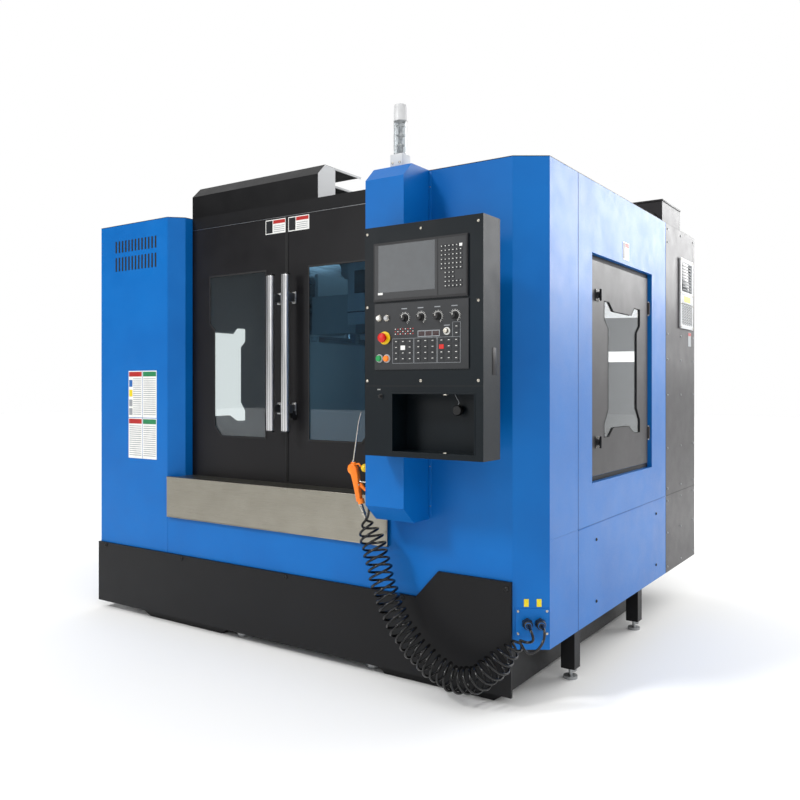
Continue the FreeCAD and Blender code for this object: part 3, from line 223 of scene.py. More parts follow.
# Plated steel: nickel is warm and bright, zinc cooler and duller.
NICKEL = brushed("nickel_plated_steel", "B5B0A4", "D2CDC2", 0.25, 2, 0.001)
ZINC = brushed("zinc_plated_steel", "9A9C9E", "B7B9BB", 0.35, 2, 0.002)
# Turned brass: yellow and bright, with the tool's rings.
BRASS = brushed("turned_brass", "B8913C", "D2A850", 0.3, 0, 0.001)
# Moulded plastics: nearly even, with a soft, low gloss.
NYLON = moulded("glass_filled_nylon_black", "111112", "161617", 0.42)
ABS_BLACK = moulded("moulded_abs_black", "141416", "19191C", 0.45)
ABS_DARK = moulded("moulded_abs_dark_grey", "202225", "26282B", 0.42)
ABS_WHITE = moulded("moulded_abs_white", "E6E6E3", "F2F2EF", 0.35)
# The lamp's cap: white plastic drawn as a dull light grey, painted shade that tones down the strong
# light from behind it.
SHADED_LAMP_WHITE = moulded("moulded_asa_white_painted_shade", "C9CACB", "D3D4D5", 0.4)
ABS_GREY = moulded("moulded_abs_light_grey", "A7A8AA", "B6B7B9", 0.42)
ABS_RED = moulded("moulded_abs_red", "C3170F", "D22016", 0.3)
ABS_YELLOW = moulded("moulded_abs_yellow", "EBC00E", "F5CC18", 0.35)
ABS_GREEN = moulded("moulded_abs_green", "0E8A45", "16994F", 0.3)
ABS_ORANGE = moulded("moulded_nylon_orange", "F7780F", "FF8A1E", 0.38)
# Polyurethane hose: black and glossy, a little wavy.
HOSE = moulded("polyurethane_hose_black", "09090A", "0F0F10", 0.2, 0.004, 0.00002)
# Strips in the panel joints: real joints, with the shade of their grooves painted in a darker blue
# than the panels.
GROOVE_SHADE_BLUE = moulded("joint_strip_painted_groove_shade", "0A3F78", "0D4681", 0.5, 0.004, 0.00003)
# Extruded rubber: black and dull.
RUBBER = moulded("rubber_seal", "0C0C0D", "131314", 0.6, 0.001, 0.00004)
# Printed polyester film on the panels: even, with a low sheen.
FILM_BLACK = moulded("polyester_film_black", "17191C", "1B1D20", 0.34, 0.0006, 0.000006)
FILM_WHITE = moulded("polyester_film_white", "E4E4E0", "EFEFEB", 0.4, 0.02, 0.00001)
FILM_GREY = moulded("polyester_film_grey", "8E9296", "989CA0", 0.4, 0.02, 0.00001)
FILM_RED = moulded("polyester_film_red", "A81E1C", "B52622", 0.4, 0.02, 0.00001)
FILM_GREEN = moulded("polyester_film_green", "1E7A4A", "258554", 0.4, 0.02, 0.00001)
FILM_BLUE = moulded("polyester_film_blue", "1D5FA6", "256AB2", 0.4, 0.02, 0.00001)
FILM_YELLOW = moulded("polyester_film_yellow", "E0C812", "EAD41E", 0.4, 0.02, 0.00001)
# Polycarbonate sheet: clear, with a faint blue-grey tint.
WINDOW = clear_sheet("clear_polycarbonate", "C2CDD3", 0.0, 0.98)
# The right leaf's sheet: the same polycarbonate in a deeper blue, painted shade for the deep blue
# it shows where it is dark behind.
SHADE_TINTED_SHEET = clear_sheet("polycarbonate_painted_shade_tint", "84B4D2", 0.0, 0.98)
# Acrylic tube: clear and slightly milky.
CLEAR = clear_sheet("clear_acrylic", "EDF1F3", 0.02, 0.86)
# A dead screen: glossy glass over a dark layer.
SCREEN = moulded("display_glass_off", "262C31", "2C3338", 0.08, 0.05, 0.000003)
SCREEN.node_tree.nodes["Principled BSDF"].inputs["Specular IOR Level"].default_value = 0.42
# Unlit segments behind dark red windows.
DIGITS = moulded("display_window_dark_red", "2A1416", "331A1C", 0.15, 0.02, 0.000003)
# A frosted tube, lit.
LAMP_TUBE = lit("work_lamp_diffuser", "F4F8FF", 9.0)
# A milky film on the far window's inner face that glows by itself: painted daylight, with no lamp
# behind it.
PAINTED_DAYLIGHT = lit("window_film_painted_daylight", "F6F3EC", 1.4)


# ---------------------------------------------------------------- the camera, light and floor


def set_stage():
    """A level camera, a pale floor, and light from behind, above and both sides."""
    scene = bpy.context.scene
    camera = bpy.data.cameras.new("camera")
    camera.sensor_width = 36
    camera.lens = 36.27
    camera.shift_y = -0.0175
    camera.clip_end = 100
    eye = bpy.data.objects.new("camera", camera)
    eye.location = (2.548, FRONT - 2.742, 1.212)
    eye.rotation_euler = (math.radians(90), 0, math.radians(34.26))
    scene.collection.objects.link(eye)
    scene.camera = eye
    bm = bmesh.new()
    bmesh.ops.create_grid(bm, x_segments=2, y_segments=2, size=30)
    mesh = bpy.data.meshes.new("floor")
    bm.to_mesh(mesh)
    bm.free()
    floor = bpy.data.objects.new("floor", mesh)
    scene.collection.objects.link(floor)
    material, tree, shader, place = started("pale_floor", Roughness=0.8)
    drift = add(tree, "ShaderNodeTexNoise", {"Vector": place, "Scale": 0.4, "Detail": 2})
    colour = add(tree, "ShaderNodeValToRGB", {"Fac": drift},
                 stops=((0.3, paint("F4F4F3")), (0.7, paint("F8F8F7"))))
    tree.links.new(colour, shader.inputs["Base Color"])
    mesh.materials.append(material)
    scene.view_settings.view_transform = "Standard"
    set_sky(scene)
    # Each light's name, kind, place, aim, its size in metres or spread in degrees, and its power.
    lights = (
        ("rear_softbox", "AREA", (3.9, 5.4, 3.6), (1.3, 0.2, 1.5), (4.4, 2.6), 205),
        ("hall_window", "AREA", (-1.5, -4.9, 2.3), (0.98, -1.2, 1.63), (1.7, 1.1), 30),
        ("hall_strip", "AREA", (3.4, 5.4, 2.14), (1.3, 0.2, 1.5), (3.6, 0.28), 7),
        ("hall_strip_low", "AREA", (3.4, 5.4, 1.55), (1.3, 0.2, 1.35), (3.6, 0.12), 5),
        ("key_light", "SUN", (-3.2, -5.4, 5.6), (0, 0, 0), 10, 1.45),
        ("fill_light", "SUN", (4.5, -3.6, 4.0), (0, 0, 0), 50, 0.8),
    )
    for name, kind, spot, target, size, power in lights:
        lamp = bpy.data.lights.new(name, kind)
        lamp.energy = power
        if kind == "SUN":
            lamp.angle = math.radians(size)
        else:
            lamp.shape = "RECTANGLE"
            lamp.size, lamp.size_y = size
        made = bpy.data.objects.new(name, lamp)
        made.location = spot
        made.rotation_euler = (Vector(target) - Vector(spot)).to_track_quat("-Z", "Y").to_euler()
        made.visible_camera = False
        scene.collection.objects.link(made)


def set_sky(scene):
    """A white backdrop all round, whose light is bright behind and above and dim in front."""
    world = bpy.data.worlds.new("studio")
    world.use_nodes = True
    scene.world = world
    tree = world.node_tree
    ways = tree.nodes.new("ShaderNodeSeparateXYZ")
    tree.links.new(add(tree, "ShaderNodeTexCoord", gives="Generated"), ways.inputs[0])
    rear = add(tree, "ShaderNodeMapRange", {"Value": ways.outputs["Y"], "From Min": -0.25,
                                            "From Max": 0.45, "To Min": 0.09, "To Max": 1.0},
               interpolation_type="SMOOTHSTEP")
    overhead = add(tree, "ShaderNodeMapRange", {"Value": ways.outputs["Z"], "From Min": 0.35,
                                                "From Max": 0.9, "To Min": 0.0, "To Max": 1.0},
                   interpolation_type="SMOOTHSTEP")
    light = add(tree, "ShaderNodeMath", {0: rear, 1: overhead}, operation="MAXIMUM")
    seen = add(tree, "ShaderNodeLightPath", gives="Is Camera Ray")
    strength = add(tree, "ShaderNodeMath", {0: light, 1: seen}, operation="MAXIMUM")
    sky = tree.nodes["Background"]
    sky.inputs["Color"].default_value = paint("FFFFFF")
    tree.links.new(strength, sky.inputs["Strength"])


# ---------------------------------------------------------------- the coiled air hoses

# The middle of the coil, as it hangs from the gun to the glands at the corner: x, out from the
# front and up, in millimetres.
COIL_ROUTE = (
    (587, 104, 655), (628, 110, 571), (657, 112, 481), (686, 114, 392), (727, 114, 308),
    (786, 114, 229), (866, 114, 163), (956, 113, 116), (1034, 111, 101), (1108, 107, 124),
    (1167, 101, 180), (1217, 88, 233), (1256, 66, 280),
)
HOSE_RADIUS = 5.0 * MM
TURNS = 17
TURN_POINTS = 14
TURN_RADIUS = 48.0 * MM
# Where the air hose's first turn starts, in radians; the water hose's is opposite.
FIRST_TURN = 0.4


def spline(name, points):
    """A smooth open curve with the points as its control points."""
    curve = bpy.data.curves.new(name, "CURVE")
    curve.dimensions = "3D"
    curve.resolution_u = 12
    line = curve.splines.new("NURBS")
    line.points.add(len(points) - 1)
    for point, place in zip(line.points, points):
        point.co = (*place, 1)
    line.order_u = 3
    line.use_endpoint_u = True
    return curve


def along(curve):
    """The points that a curve runs through, read back from it."""
    bare = bpy.data.objects.new("route", curve)
    mesh = bpy.data.meshes.new_from_object(bare)
    points = [v.co.copy() for v in mesh.vertices]
    bpy.data.meshes.remove(mesh)
    bpy.data.objects.remove(bare)
    return points


def evenly(points, count):
    """The same line, at even steps."""
    lengths = [0.0]
    for a, b in zip(points, points[1:]):
        lengths.append(lengths[-1] + (b - a).length)
    found = []
    last = 0
    for i in range(count):
        want = lengths[-1] * i / (count - 1)
        while last < len(points) - 2 and lengths[last + 1] < want:
            last += 1
        share = (want - lengths[last]) / max(lengths[last + 1] - lengths[last], 1e-9)
        found.append(points[last].lerp(points[last + 1], share))
    return found


def helix(start_turn, before, after):
    """One hose: a tail from the gun side, its turns round the route, and a tail to its gland."""
    route = [at(*place) for place in COIL_ROUTE]
    middle = evenly(along(spline("route", route)), TURNS * TURN_POINTS + 1)
    across = -OUT
    points = list(before)
    for i, centre in enumerate(middle):
        forward = (middle[min(i + 1, len(middle) - 1)] - middle[max(i - 1, 0)]).normalized()
        across = (across - forward * across.dot(forward)).normalized()
        share = i / (len(middle) - 1)
        # The turns open from small ones at both ends, and no two hang quite the same.
        swell = min(1.0, 0.4 + 12 * share, 0.35 + 6 * (1 - share))
        loose = 1 + 0.05 * math.sin(2.3 * i / TURN_POINTS + start_turn)
        turn = start_turn + 2 * math.pi * i / TURN_POINTS
        around = across * math.cos(turn) + forward.cross(across) * math.sin(turn)
        points.append(centre + around * TURN_RADIUS * swell * loose)
    return points + after


def hose_length(points):
    """The length of the line through the points."""
    return sum((b - a).length for a, b in zip(points, points[1:]))


def hang_hoses():
    """Two polyurethane hoses wound together, from the gun and the valve to the corner glands."""
    gun_end = at(579, 100, 673)
    valve_end = at(613, 125, 847)
    air = helix(FIRST_TURN, [gun_end, at(583, 101, 662)],
                [at(1265, 40, 270), at(1300, 40, 280), at(1288, 40, 314), at(1274, 25, 321),
                 at(1261, 5, 321)])
    water = helix(FIRST_TURN + math.pi,
                  [valve_end, at(613, 125, 790), at(612, 122, 725), at(602, 112, 680)],
                  [at(1285, 72, 238), at(1316, 50, 250), at(1330, 20, 285), at(1326, 8, 316),
                   at(1315, -3, 321), at(1301, -22, 321)])
    for name, points, exit_place in (("air_hose", air, gun_end), ("water_hose", water, valve_end)):
        made = wire(name, points, HOSE_RADIUS / MM, HOSE, bevel_resolution=3, resolution_u=3)
        if name == "air_hose":
            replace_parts(made, "hose_coil")
        bare = spline("bare", points)
        bare.resolution_u = 3
        real = hose_length(along(bare))
        print(name, "length", round(real, 3))


# ---------------------------------------------------------------- making pieces


def at(x, out, z):
    """A place given in millimetres: across, out in front of the enclosure, and up."""
    return Vector((x * MM, FRONT - out * MM, z * MM))


def beside(out, back, z, way=1):
    """A place on the right side, or on the left one with way -1: out from it, back and up."""
    return Vector(((RIGHT if way > 0 else LEFT) + way * out * MM, FRONT + back * MM, z * MM))


def behind(x, out, z):
    """A place on the back, out from it."""
    return Vector((x * MM, BACK + out * MM, z * MM))


def above(x, back, up):
    """A place on the roof: across, back from the enclosure's front, and up from the roof."""
    return Vector((x * MM, FRONT + back * MM, TOP + up * MM))


def bearing(turn, reach):
    """A level vector at a turn in degrees from +X, its reach in millimetres."""
    turn = math.radians(turn)
    return Vector((math.cos(turn), math.sin(turn), 0)) * reach * MM


def dial(turn, reach):
    """A vector in the front's plane, at a turn in degrees from upright, clockwise."""
    turn = math.radians(turn)
    return Vector((math.sin(turn), 0, math.cos(turn))) * reach * MM


def piece(name, material, body, *shapes, angle=32):
    """A finished mesh of some shapes that rides on a body, smooth except at its edges."""
    bm = bmesh.new()
    for draw in shapes:
        draw(bm)
    bmesh.ops.recalc_face_normals(bm, faces=bm.faces)
    mesh = bpy.data.meshes.new(name)
    bm.to_mesh(mesh)
    bm.free()
    mesh.polygons.foreach_set("use_smooth", [True] * len(mesh.polygons))
    mesh.set_sharp_from_angle(angle=math.radians(angle))
    mesh.materials.append(material)
    made = bpy.data.objects.new(name, mesh)
    bpy.context.scene.collection.objects.link(made)
    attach(made, body)
    return made


def later(draw):
    """Makes a function that draws into a bmesh wait until its piece hands it one."""
    return lambda *given, **named: lambda bm: draw(bm, *given, **named)


def merged(bm):
    """Makes one point of those that lie together, as where a turned shape closes."""
    bmesh.ops.remove_doubles(bm, verts=bm.verts, dist=DOUBLE)


def rounded(bm, edges, by, segments=2):
    """Rounds some edges, by a number of millimetres."""
    bmesh.ops.bevel(
        bm, geom=list(edges), offset=by * MM, offset_type="OFFSET", segments=segments,
        profile=0.5, affect="EDGES", clamp_overlap=True, material=-1,
    )


@later
def block(bm, one, other, by=0.0, segments=2):
    """A box between two corners, with its edges rounded."""
    low = Vector([min(a, b) for a, b in zip(one, other)])
    high = Vector([max(a, b) for a, b in zip(one, other)])
    verts = bmesh.ops.create_cube(bm, size=1)["verts"]
    bmesh.ops.scale(bm, vec=high - low, verts=verts)
    bmesh.ops.translate(bm, vec=(high + low) / 2, verts=verts)
    if by:
        rounded(bm, {e for v in verts for e in v.link_edges}, by, segments)


def slab(x, out, z, by=0.0, segments=2):
    """A box on the front, by its ranges in millimetres."""
    return block(at(x[0], out[0], z[0]), at(x[1], out[1], z[1]), by, segments)


def side_slab(out, back, z, by=0.0, segments=2):
    """A box on the right side, by its ranges in millimetres."""
    return block(beside(out[0], back[0], z[0]), beside(out[1], back[1], z[1]), by, segments)


@later
def rod(bm, start, end, radius, end_radius=None, sides=24, by=0.0):
    """A round bar or a cone between two places, its radius in millimetres."""
    reach = end - start
    turn = reach.to_track_quat("Z", "Y").to_matrix().to_4x4()
    last = radius if end_radius is None else end_radius
    verts = bmesh.ops.create_cone(
        bm, cap_ends=True, cap_tris=False, segments=sides, radius1=radius * MM,
        radius2=last * MM, depth=reach.length, matrix=Matrix.Translation((start + end) / 2) @ turn,
    )["verts"]
    if by:
        edges = {e for v in verts for e in v.link_edges}
        rounded(bm, [e for e in edges if e.calc_face_angle(0) > 1], by)


@later
def turned(bm, start, way, outline, sides=32):
    """A solid turned about a line from start: pairs of radius and distance along it."""
    place = Matrix.Translation(start) @ way.to_track_quat("Z", "Y").to_matrix().to_4x4()
    if outline[0] != outline[-1]:
        ends = [[(0, h)] if r else [] for r, h in (outline[0], outline[-1])]
        outline = ends[0] + list(outline) + ends[1]
    verts = [bm.verts.new(place @ Vector((r * MM, 0, h * MM))) for r, h in outline]
    edges = [bm.edges.new(pair) for pair in zip(verts, verts[1:])]
    bmesh.ops.spin(
        bm, geom=verts + edges, cent=start, axis=way.normalized(), angle=2 * math.pi,
        steps=sides, use_merge=True, use_duplicate=False,
    )
    merged(bm)


@later
def plate(bm, outline, push, by=0.0):
    """A solid plate: its outline's places in order, pushed by a vector in millimetres."""
    face = bm.faces.new([bm.verts.new(p) for p in outline])
    made = bmesh.ops.extrude_face_region(bm, geom=[face], use_keep_orig=True)["geom"]
    far = [v for v in made if isinstance(v, bmesh.types.BMVert)]
    bmesh.ops.translate(bm, vec=push * MM, verts=far)
    if by:
        edges = {e for v in far + list(face.verts) for e in v.link_edges}
        rims = [e for e in edges if e in face.edges or set(e.verts) <= set(far)]
        rounded(bm, rims, by, 3)


@later
def hex_head(bm, start, width, height):
    """A hexagon bolt head with a chamfered crown, its axis upright."""
    shoulder = start + UP * height * 0.8 * MM
    rod(start, shoulder, width / 2, sides=6)(bm)
    rod(shoulder, start + UP * height * MM, width / 2, width / 2.5, sides=6)(bm)


def pan_screw(start, way, radius):
    """A pan-head screw with a rounded crown and a socket."""
    crown = ((1, 0), (1, 0.3), (0.8, 0.55), (0.45, 0.62), (0.4, 0.3), (0, 0.25))
    return turned(start, way, [(r * radius, h * radius) for r, h in crown], 16)


@later
def strip_frame(bm, outline, width, thickness, by=1.0):
    """A flat frame of even width just inside an outline, pushed out along its normal."""
    face = bm.faces.new([bm.verts.new(p) for p in outline])
    bm.normal_update()
    normal = face.normal.copy()
    ring = bmesh.ops.inset_region(bm, faces=[face], thickness=width * MM, use_even_offset=True,
                                  use_boundary=True)["faces"]
    bmesh.ops.delete(bm, geom=[face], context="FACES_ONLY")
    made = bmesh.ops.extrude_face_region(bm, geom=ring, use_keep_orig=True)["geom"]
    top = {v for v in made if isinstance(v, bmesh.types.BMVert)}
    bmesh.ops.translate(bm, vec=normal * thickness * MM, verts=list(top))
    edges = [e for e in bm.edges if set(e.verts) <= top and len(e.link_faces) == 2
             and e.calc_face_angle(0) > 1]
    rounded(bm, edges, by)


def wire(name, points, radius, material, body="machine", bevel_resolution=2, **settings):
    """A round wire or cable along a smooth line, its radius in millimetres.

    The curve gets all its settings before it has an object, whose box would miss later ones."""
    curve = spline(name, points)
    curve.bevel_depth = radius * MM
    curve.bevel_resolution = bevel_resolution
    for setting, value in settings.items():
        setattr(curve, setting, value)
    curve.materials.append(material)
    made = bpy.data.objects.new(name, curve)
    bpy.context.scene.collection.objects.link(made)
    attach(made, body)
    return made


# ---------------------------------------------------------------- the front of the enclosure


def column_slots():
    """Two rows of narrow ventilation slots in the left column."""
    piece("column_slots", RUBBER, "machine",
          *[slab((x, x + 12), (0.2, 0.9), (z, z + high), 0.4, 1)
            for z, high in ((1930, 62), (1830, 74)) for x in range(-1184, -859, 27)])


def chart_plates():
    """Four plain chart plates on the left column: a coloured head over pale rules."""
    left, right, high, low = (-1072, -960), (-957, -845), (1046, 1292), (830, 1043)
    plates = ((left, high, FILM_RED), (left, low, FILM_RED), (right, high, FILM_GREEN),
              (right, low, FILM_GREEN))
    for number, (x, z, head) in enumerate(plates):
        piece(f"chart_plate_{number}", FILM_WHITE, "machine", slab(x, (0, 1), z, 0.3, 1))
        piece(f"chart_head_{number}", head, "machine",
              slab((x[0] + 4, x[1] - 4), (1, 1.5), (z[1] - 30, z[1] - 5), 0.2, 1))
        start = x[0] + (38 if number == 0 else 8)
        piece(f"chart_rules_{number}", FILM_GREY, "machine",
              *[slab((start, x[1] - 8), (1, 1.3), (row, row + 3.5))
                for row in range(z[1] - 44, z[0] + 12, -11)])
    for z, colour in ((1208, FILM_BLUE), (1156, FILM_YELLOW), (1104, FILM_GREY), (1058, FILM_GREY)):
        piece(f"chart_patch_{z}", colour, "machine",
              slab((-1067, -1040), (1, 1.5), (z, z + 36), 0.2, 1))


def door_plates():
    """A plain plate with a dark field and a coloured band at the top of each door leaf."""
    for body, x in (("left_door", -182), ("right_door", -36)):
        raised = (DOOR + 1, DOOR + 1.4)
        piece(body + "_plate", FILM_WHITE, body,
              slab((x, x + 130), (DOOR, DOOR + 1), (1942, 2010), 0.3, 1))
        piece(body + "_plate_field", FILM_BLACK, body,
              slab((x + 4, x + 46), raised, (1946, 2006), 0.2, 1))
        piece(body + "_plate_band", FILM_RED, body,
              slab((x + 50, x + 126), raised, (1989, 2006), 0.2, 1))
        piece(body + "_plate_rules", FILM_GREY, body,
              *[slab((x + 52, x + 122), (DOOR + 1, DOOR + 1.2), (z, z + 3))
                for z in (1950, 1959, 1968, 1977)])


def window_outline(sign, more):
    """The outline of one door window in order, larger by a few millimetres."""
    shape = ((527 + more, 1770 + more), (133 - more, 1770 + more), (133 - more, 957 - more),
             (443 + more, 957 - more), (494 + more, 1007 - more * 0.4), (494 + more, 1493),
             (527 + more, 1526 - more * 0.4))
    return [at(SEAM + sign * x, DOOR, z) for x, z in shape]


def door_details():
    """Window seals, seam lips, bar handles and the lock of the two sliding doors."""
    for side, sign in (("left", -1), ("right", 1)):
        body = side + "_door"
        piece(body + "_window_seal", RUBBER, body,
              strip_frame(window_outline(sign, 2)[::sign], 9, 2.5, 1))
        piece(body + "_seam_lip", RUBBER, body,
              slab((SEAM + sign * 0.6, SEAM + sign * 7), (DOOR, -109), (760, 2012), 1.5))
        bar_handle(body, SEAM + sign * 47)
    piece("door_lock", NYLON, "right_door",
          slab((-20, 14), (DOOR, -92), (1052, 1096), 3),
          slab((-12, 6), (-92, -84), (1062, 1086), 2))
    piece("door_lock_bolt", NICKEL, "right_door", slab((-62, -14), (-106, -100), (1066, 1082), 2))


def bar_handle(body, x):
    """An extruded bar with rounded edges, end caps, and two screwed feet."""
    wide, deep = (x - 20, x + 20), (-61, -37)
    bar = piece(body + "_bar", ANODISED, body, slab(wide, deep, (999, 1733), 8, 4))
    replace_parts(bar, body + "_handle")
    piece(body + "_bar_grooves", NYLON, body,
          *[slab((x + across - 0.8, x + across + 0.8), (-37.2, -36.8), (1001, 1731))
            for across in (-7.5, 7.5)])
    piece(body + "_bar_caps", NYLON, body,
          *[slab(wide, deep, z, 1.6) for z in ((996, 999.5), (1732.5, 1736))])
    piece(body + "_bar_feet", ZINC, body,
          *[foot for z in (1105, 1627) for foot in
            (slab((x - 10, x + 10), (DOOR, -60), (z - 20, z + 20), 3),
             slab((x - 13, x + 13), (DOOR, -109), (z - 28, z + 28), 1.8))])
    piece(body + "_bar_screws", NICKEL, body,
          *[pan_screw(at(x, -109, z), OUT, 3.6) for z in (1082, 1128, 1604, 1650)])


def sill_and_skirt_details():
    """The sill's folded lip, its lower welt, and the skirt's button-headed bolts and welts."""
    piece("sill_lip", STAINLESS, "machine", slab((-748, 625), (13, 18), (747, 752), 1.2),
          slab((-748, 625), (14, 17), (546, 550), 1))
    button = [(10, 0), (10, 2), (8, 5), (4.5, 6.5), (4, 3), (0, 3)]
    piece("skirt_bolts", NYLON, "machine",
          *[turned(at(x, 12, z), OUT, button, 20)
            for x, z in ((-1250, 345), (-640, 345), (61, 345), (700, 345), (1172, 449))])
    piece("skirt_edge", BLACK, "machine", slab((-1316, 765), (10.5, 13.4), (356.5, 360), 1),
          slab((870, 1192), (10.5, 13.4), (471.5, 475), 1))


def cowl_details():
    """The cowl's rear flange with its rivets."""
    piece("cowl_flange", BLUE, "machine", slab((821, 834), (0, 3), (690, 2072), 1))
    piece("cowl_rivets", NICKEL, "machine",
          *[turned(at(827.5, 3, z), OUT, [(3.2, 0), (2.6, 1.3), (0, 1.8)], 12)
            for z in range(730, 2011, 160)])


def corner_details():
    """Gland plate screws, two cable glands with their domed nuts, and two yellow tabs."""
    run = Vector((116, 79, 0)).normalized()
    out = Vector((79, -116, 0)).normalized()
    dome = [(18, 0), (18.6, 4), (18.6, 17), (16.5, 25), (9, 31.5), (6.5, 32), (5.5, 27)]

    def on_corner(along, proud, z):
        return Vector((RIGHT - 116 * MM, FRONT, z * MM)) + (run * along + out * proud) * MM

    piece("gland_plate_screws", NICKEL, "machine",
          *[pan_screw(on_corner(along, 3, z), out, 5) for along in (20, 129) for z in (282, 366)])
    piece("cable_glands", NYLON, "machine",
          *[nut for along in (54, 103) for nut in
            (rod(on_corner(along, 3, 321), on_corner(along, 12.12, 321), 21, sides=6, by=1),
             turned(on_corner(along, 12.12, 321), out, dome, 24))])
    piece("gland_tabs", FILM_YELLOW, "machine",
          *[plate([on_corner(along + side, 0, z) for side, z in
                   ((-9, 382), (9, 382), (9, 411), (-9, 411))], out * 0.8) for along in (52, 100)])


# ---------------------------------------------------------------- the blow gun and the valve


def blow_gun():
    """The orange nylon blow gun with its hook, bent nozzle, trigger and hose fitting."""
    y = 100
    half = 11
    outline = ((537, 738), (560, 733), (553, 775), (549, 803), (544, 848), (537, 876), (524, 889),
               (508, 893), (495, 884), (490, 868), (495, 856), (508, 846), (513, 830), (523, 797))
    body = piece("blow_gun_body", ABS_ORANGE, "machine",
                 plate([at(x, y + half, z) for x, z in outline], -OUT * 2 * half, 4.5), angle=50)
    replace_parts(body, "air_gun")
    bands = [slab((538 - i * 2.6, 559 - i * 2.6), (y - half - 0.8, y + half + 0.8),
                  (748 + i * 11, 752 + i * 11), 1.5) for i in range(5)]
    piece("blow_gun_ribs", ABS_ORANGE, "machine", *bands,
          slab((506, 528), (y - 7, y + 7), (884, 899), 3),
          rod(at(558, y, 729), at(553, y, 748), 14, by=1.5),
          rod(at(528, y, 889), at(545, y, 893), 4, by=1),
          rod(at(543, y, 894), at(555, y, 881), 4, by=1), angle=50)
    piece("blow_gun_nozzle", NICKEL, "machine",
          rod(at(513, y, 885), at(516, y, 903), 7, sides=6, by=0.8),
          rod(at(515, y, 898), at(545, y, 1073), 3.4),
          rod(at(544.6, y, 1070), at(556.5, y, 1106), 3.4, 2.4))
    piece("blow_gun_fitting", NICKEL, "machine",
          rod(at(549, y, 737), at(555, y, 723), 10, sides=6, by=1),
          rod(at(555, y, 724), at(568, y, 695), 9, 8, by=1),
          rod(at(568, y, 696), at(573, y, 685), 10.5, sides=6, by=1),
          rod(at(573, y, 686), at(579, y, 672), 7, 5.5, by=0.6))
    shape = ((551, 815), (560, 812), (584, 787), (579, 781), (563, 792), (550, 800))
    lever = piece("blow_gun_lever", ABS_ORANGE, "air_gun_trigger",
                  plate([at(x, y + 5.5, z) for x, z in shape], -OUT * 11, 2), angle=50)
    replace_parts(lever, "air_gun_trigger")
    piece("blow_gun_pin", NICKEL, "machine",
          rod(at(551, y + 12.5, 808), at(551, y - 12.5, 808), 2.6, by=0.5))


def hook_and_valve():
    """The bent wire hook that the gun hangs on, and the brass ball valve beside it."""
    bend = [at(x, 100, z) for x, z in ((639, 819), (600, 819), (556, 819), (550, 820), (546, 828))]
    wire("gun_hook", bend, 3.2, NICKEL, bevel_resolution=3, use_fill_caps=True)
    valve = piece("hose_valve", BRASS, "machine",
                  turned(at(639, 125, 880), -ACROSS,
                         [(0, 0), (13, 0), (13, 5), (8, 6), (8, 14), (10.5, 16), (11.5, 26),
                          (10.5, 36), (8, 38), (8, 41), (9, 42), (9, 50), (7, 52), (0, 52)], 28),
                  rod(at(613, 125, 873), at(613, 125, 862), 7.5, sides=6, by=0.6),
                  rod(at(613, 125, 863), at(613, 125, 847), 6, 5.4, by=0.5))
    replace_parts(valve, "hook_and_valve")
    piece("hose_valve_knob", ABS_YELLOW, "machine",
          turned(at(611, 125, 880), -ACROSS,
                 [(0, 0), (9, 2), (15, 8), (17, 16), (15, 25), (9, 31), (0, 33)], 28))


# ---------------------------------------------------------------- the pendant


def face_piece(name, material, proud, *boxes, base=KEYS, by=0.3):
    """Low plates, keys or windows on the pendant's face, by their ranges across and up."""
    piece(name, material, "pendant", *[slab(x, (base, base + proud), z, by, 1) for x, z in boxes])


def pendant_shell():
    """The face's joint and screws, the cubby's rim, catches, plug and lead, and the back."""
    piece("pendant_joint", RUBBER, "pendant",
          slab((731.4, 1234.6), (PENDANT, PENDANT + 0.3), (1211, 1213)))
    corners = ((743, 1779), (981, 1779), (1216, 1779), (743, 1506), (1216, 1506), (743, 1231),
               (981, 1231), (1216, 1231))
    piece("pendant_screws", NICKEL, "pendant",
          *[pan_screw(at(x, PENDANT, z), OUT, 5.5) for x, z in corners])
    rim = [at(x, PENDANT, z) for x, z in ((852, 968), (1203, 968), (1203, 1188), (852, 1188))]
    piece("cubby_rim", PENDANT_BLACK, "pendant", strip_frame(rim, 5, 1.5, 0.6))
    piece("cubby_catches", NICKEL, "pendant", slab((1074, 1090), (299, 308), (1179, 1183), 1),
          slab((1074, 1088), (299, 308), (973, 977), 1))
    piece("pendant_grip_slot", DOOR_BLACK, "pendant",
          slab((1235, 1236), (245, 213), (1250, 1346), 0.4))
    piece("cubby_plug", NYLON, "pendant",
          turned(at(1088, 219, 1124), OUT,
                 [(0, 0), (18, 0), (19, 3), (19, 13), (16, 18), (0, 18)], 28))
    lead = ((1076, 230, 1184), (1082, 231, 1172), (1090, 232, 1162), (1094, 230, 1152),
            (1089, 228, 1146), (1088, 228, 1136))
    wire("cubby_lead", [at(*place) for place in lead], 1.3, FILM_GREY, "pendant")
    piece("pendant_back_cover", BLACK, "pendant", slab((740, 1226), (183.4, 185), (962, 1793), 0.6),
          *[pan_screw(at(x, 183.4, z), -OUT, 4) for z in (1000, 1120, 1630, 1750)
            for x in (760, 1206)])


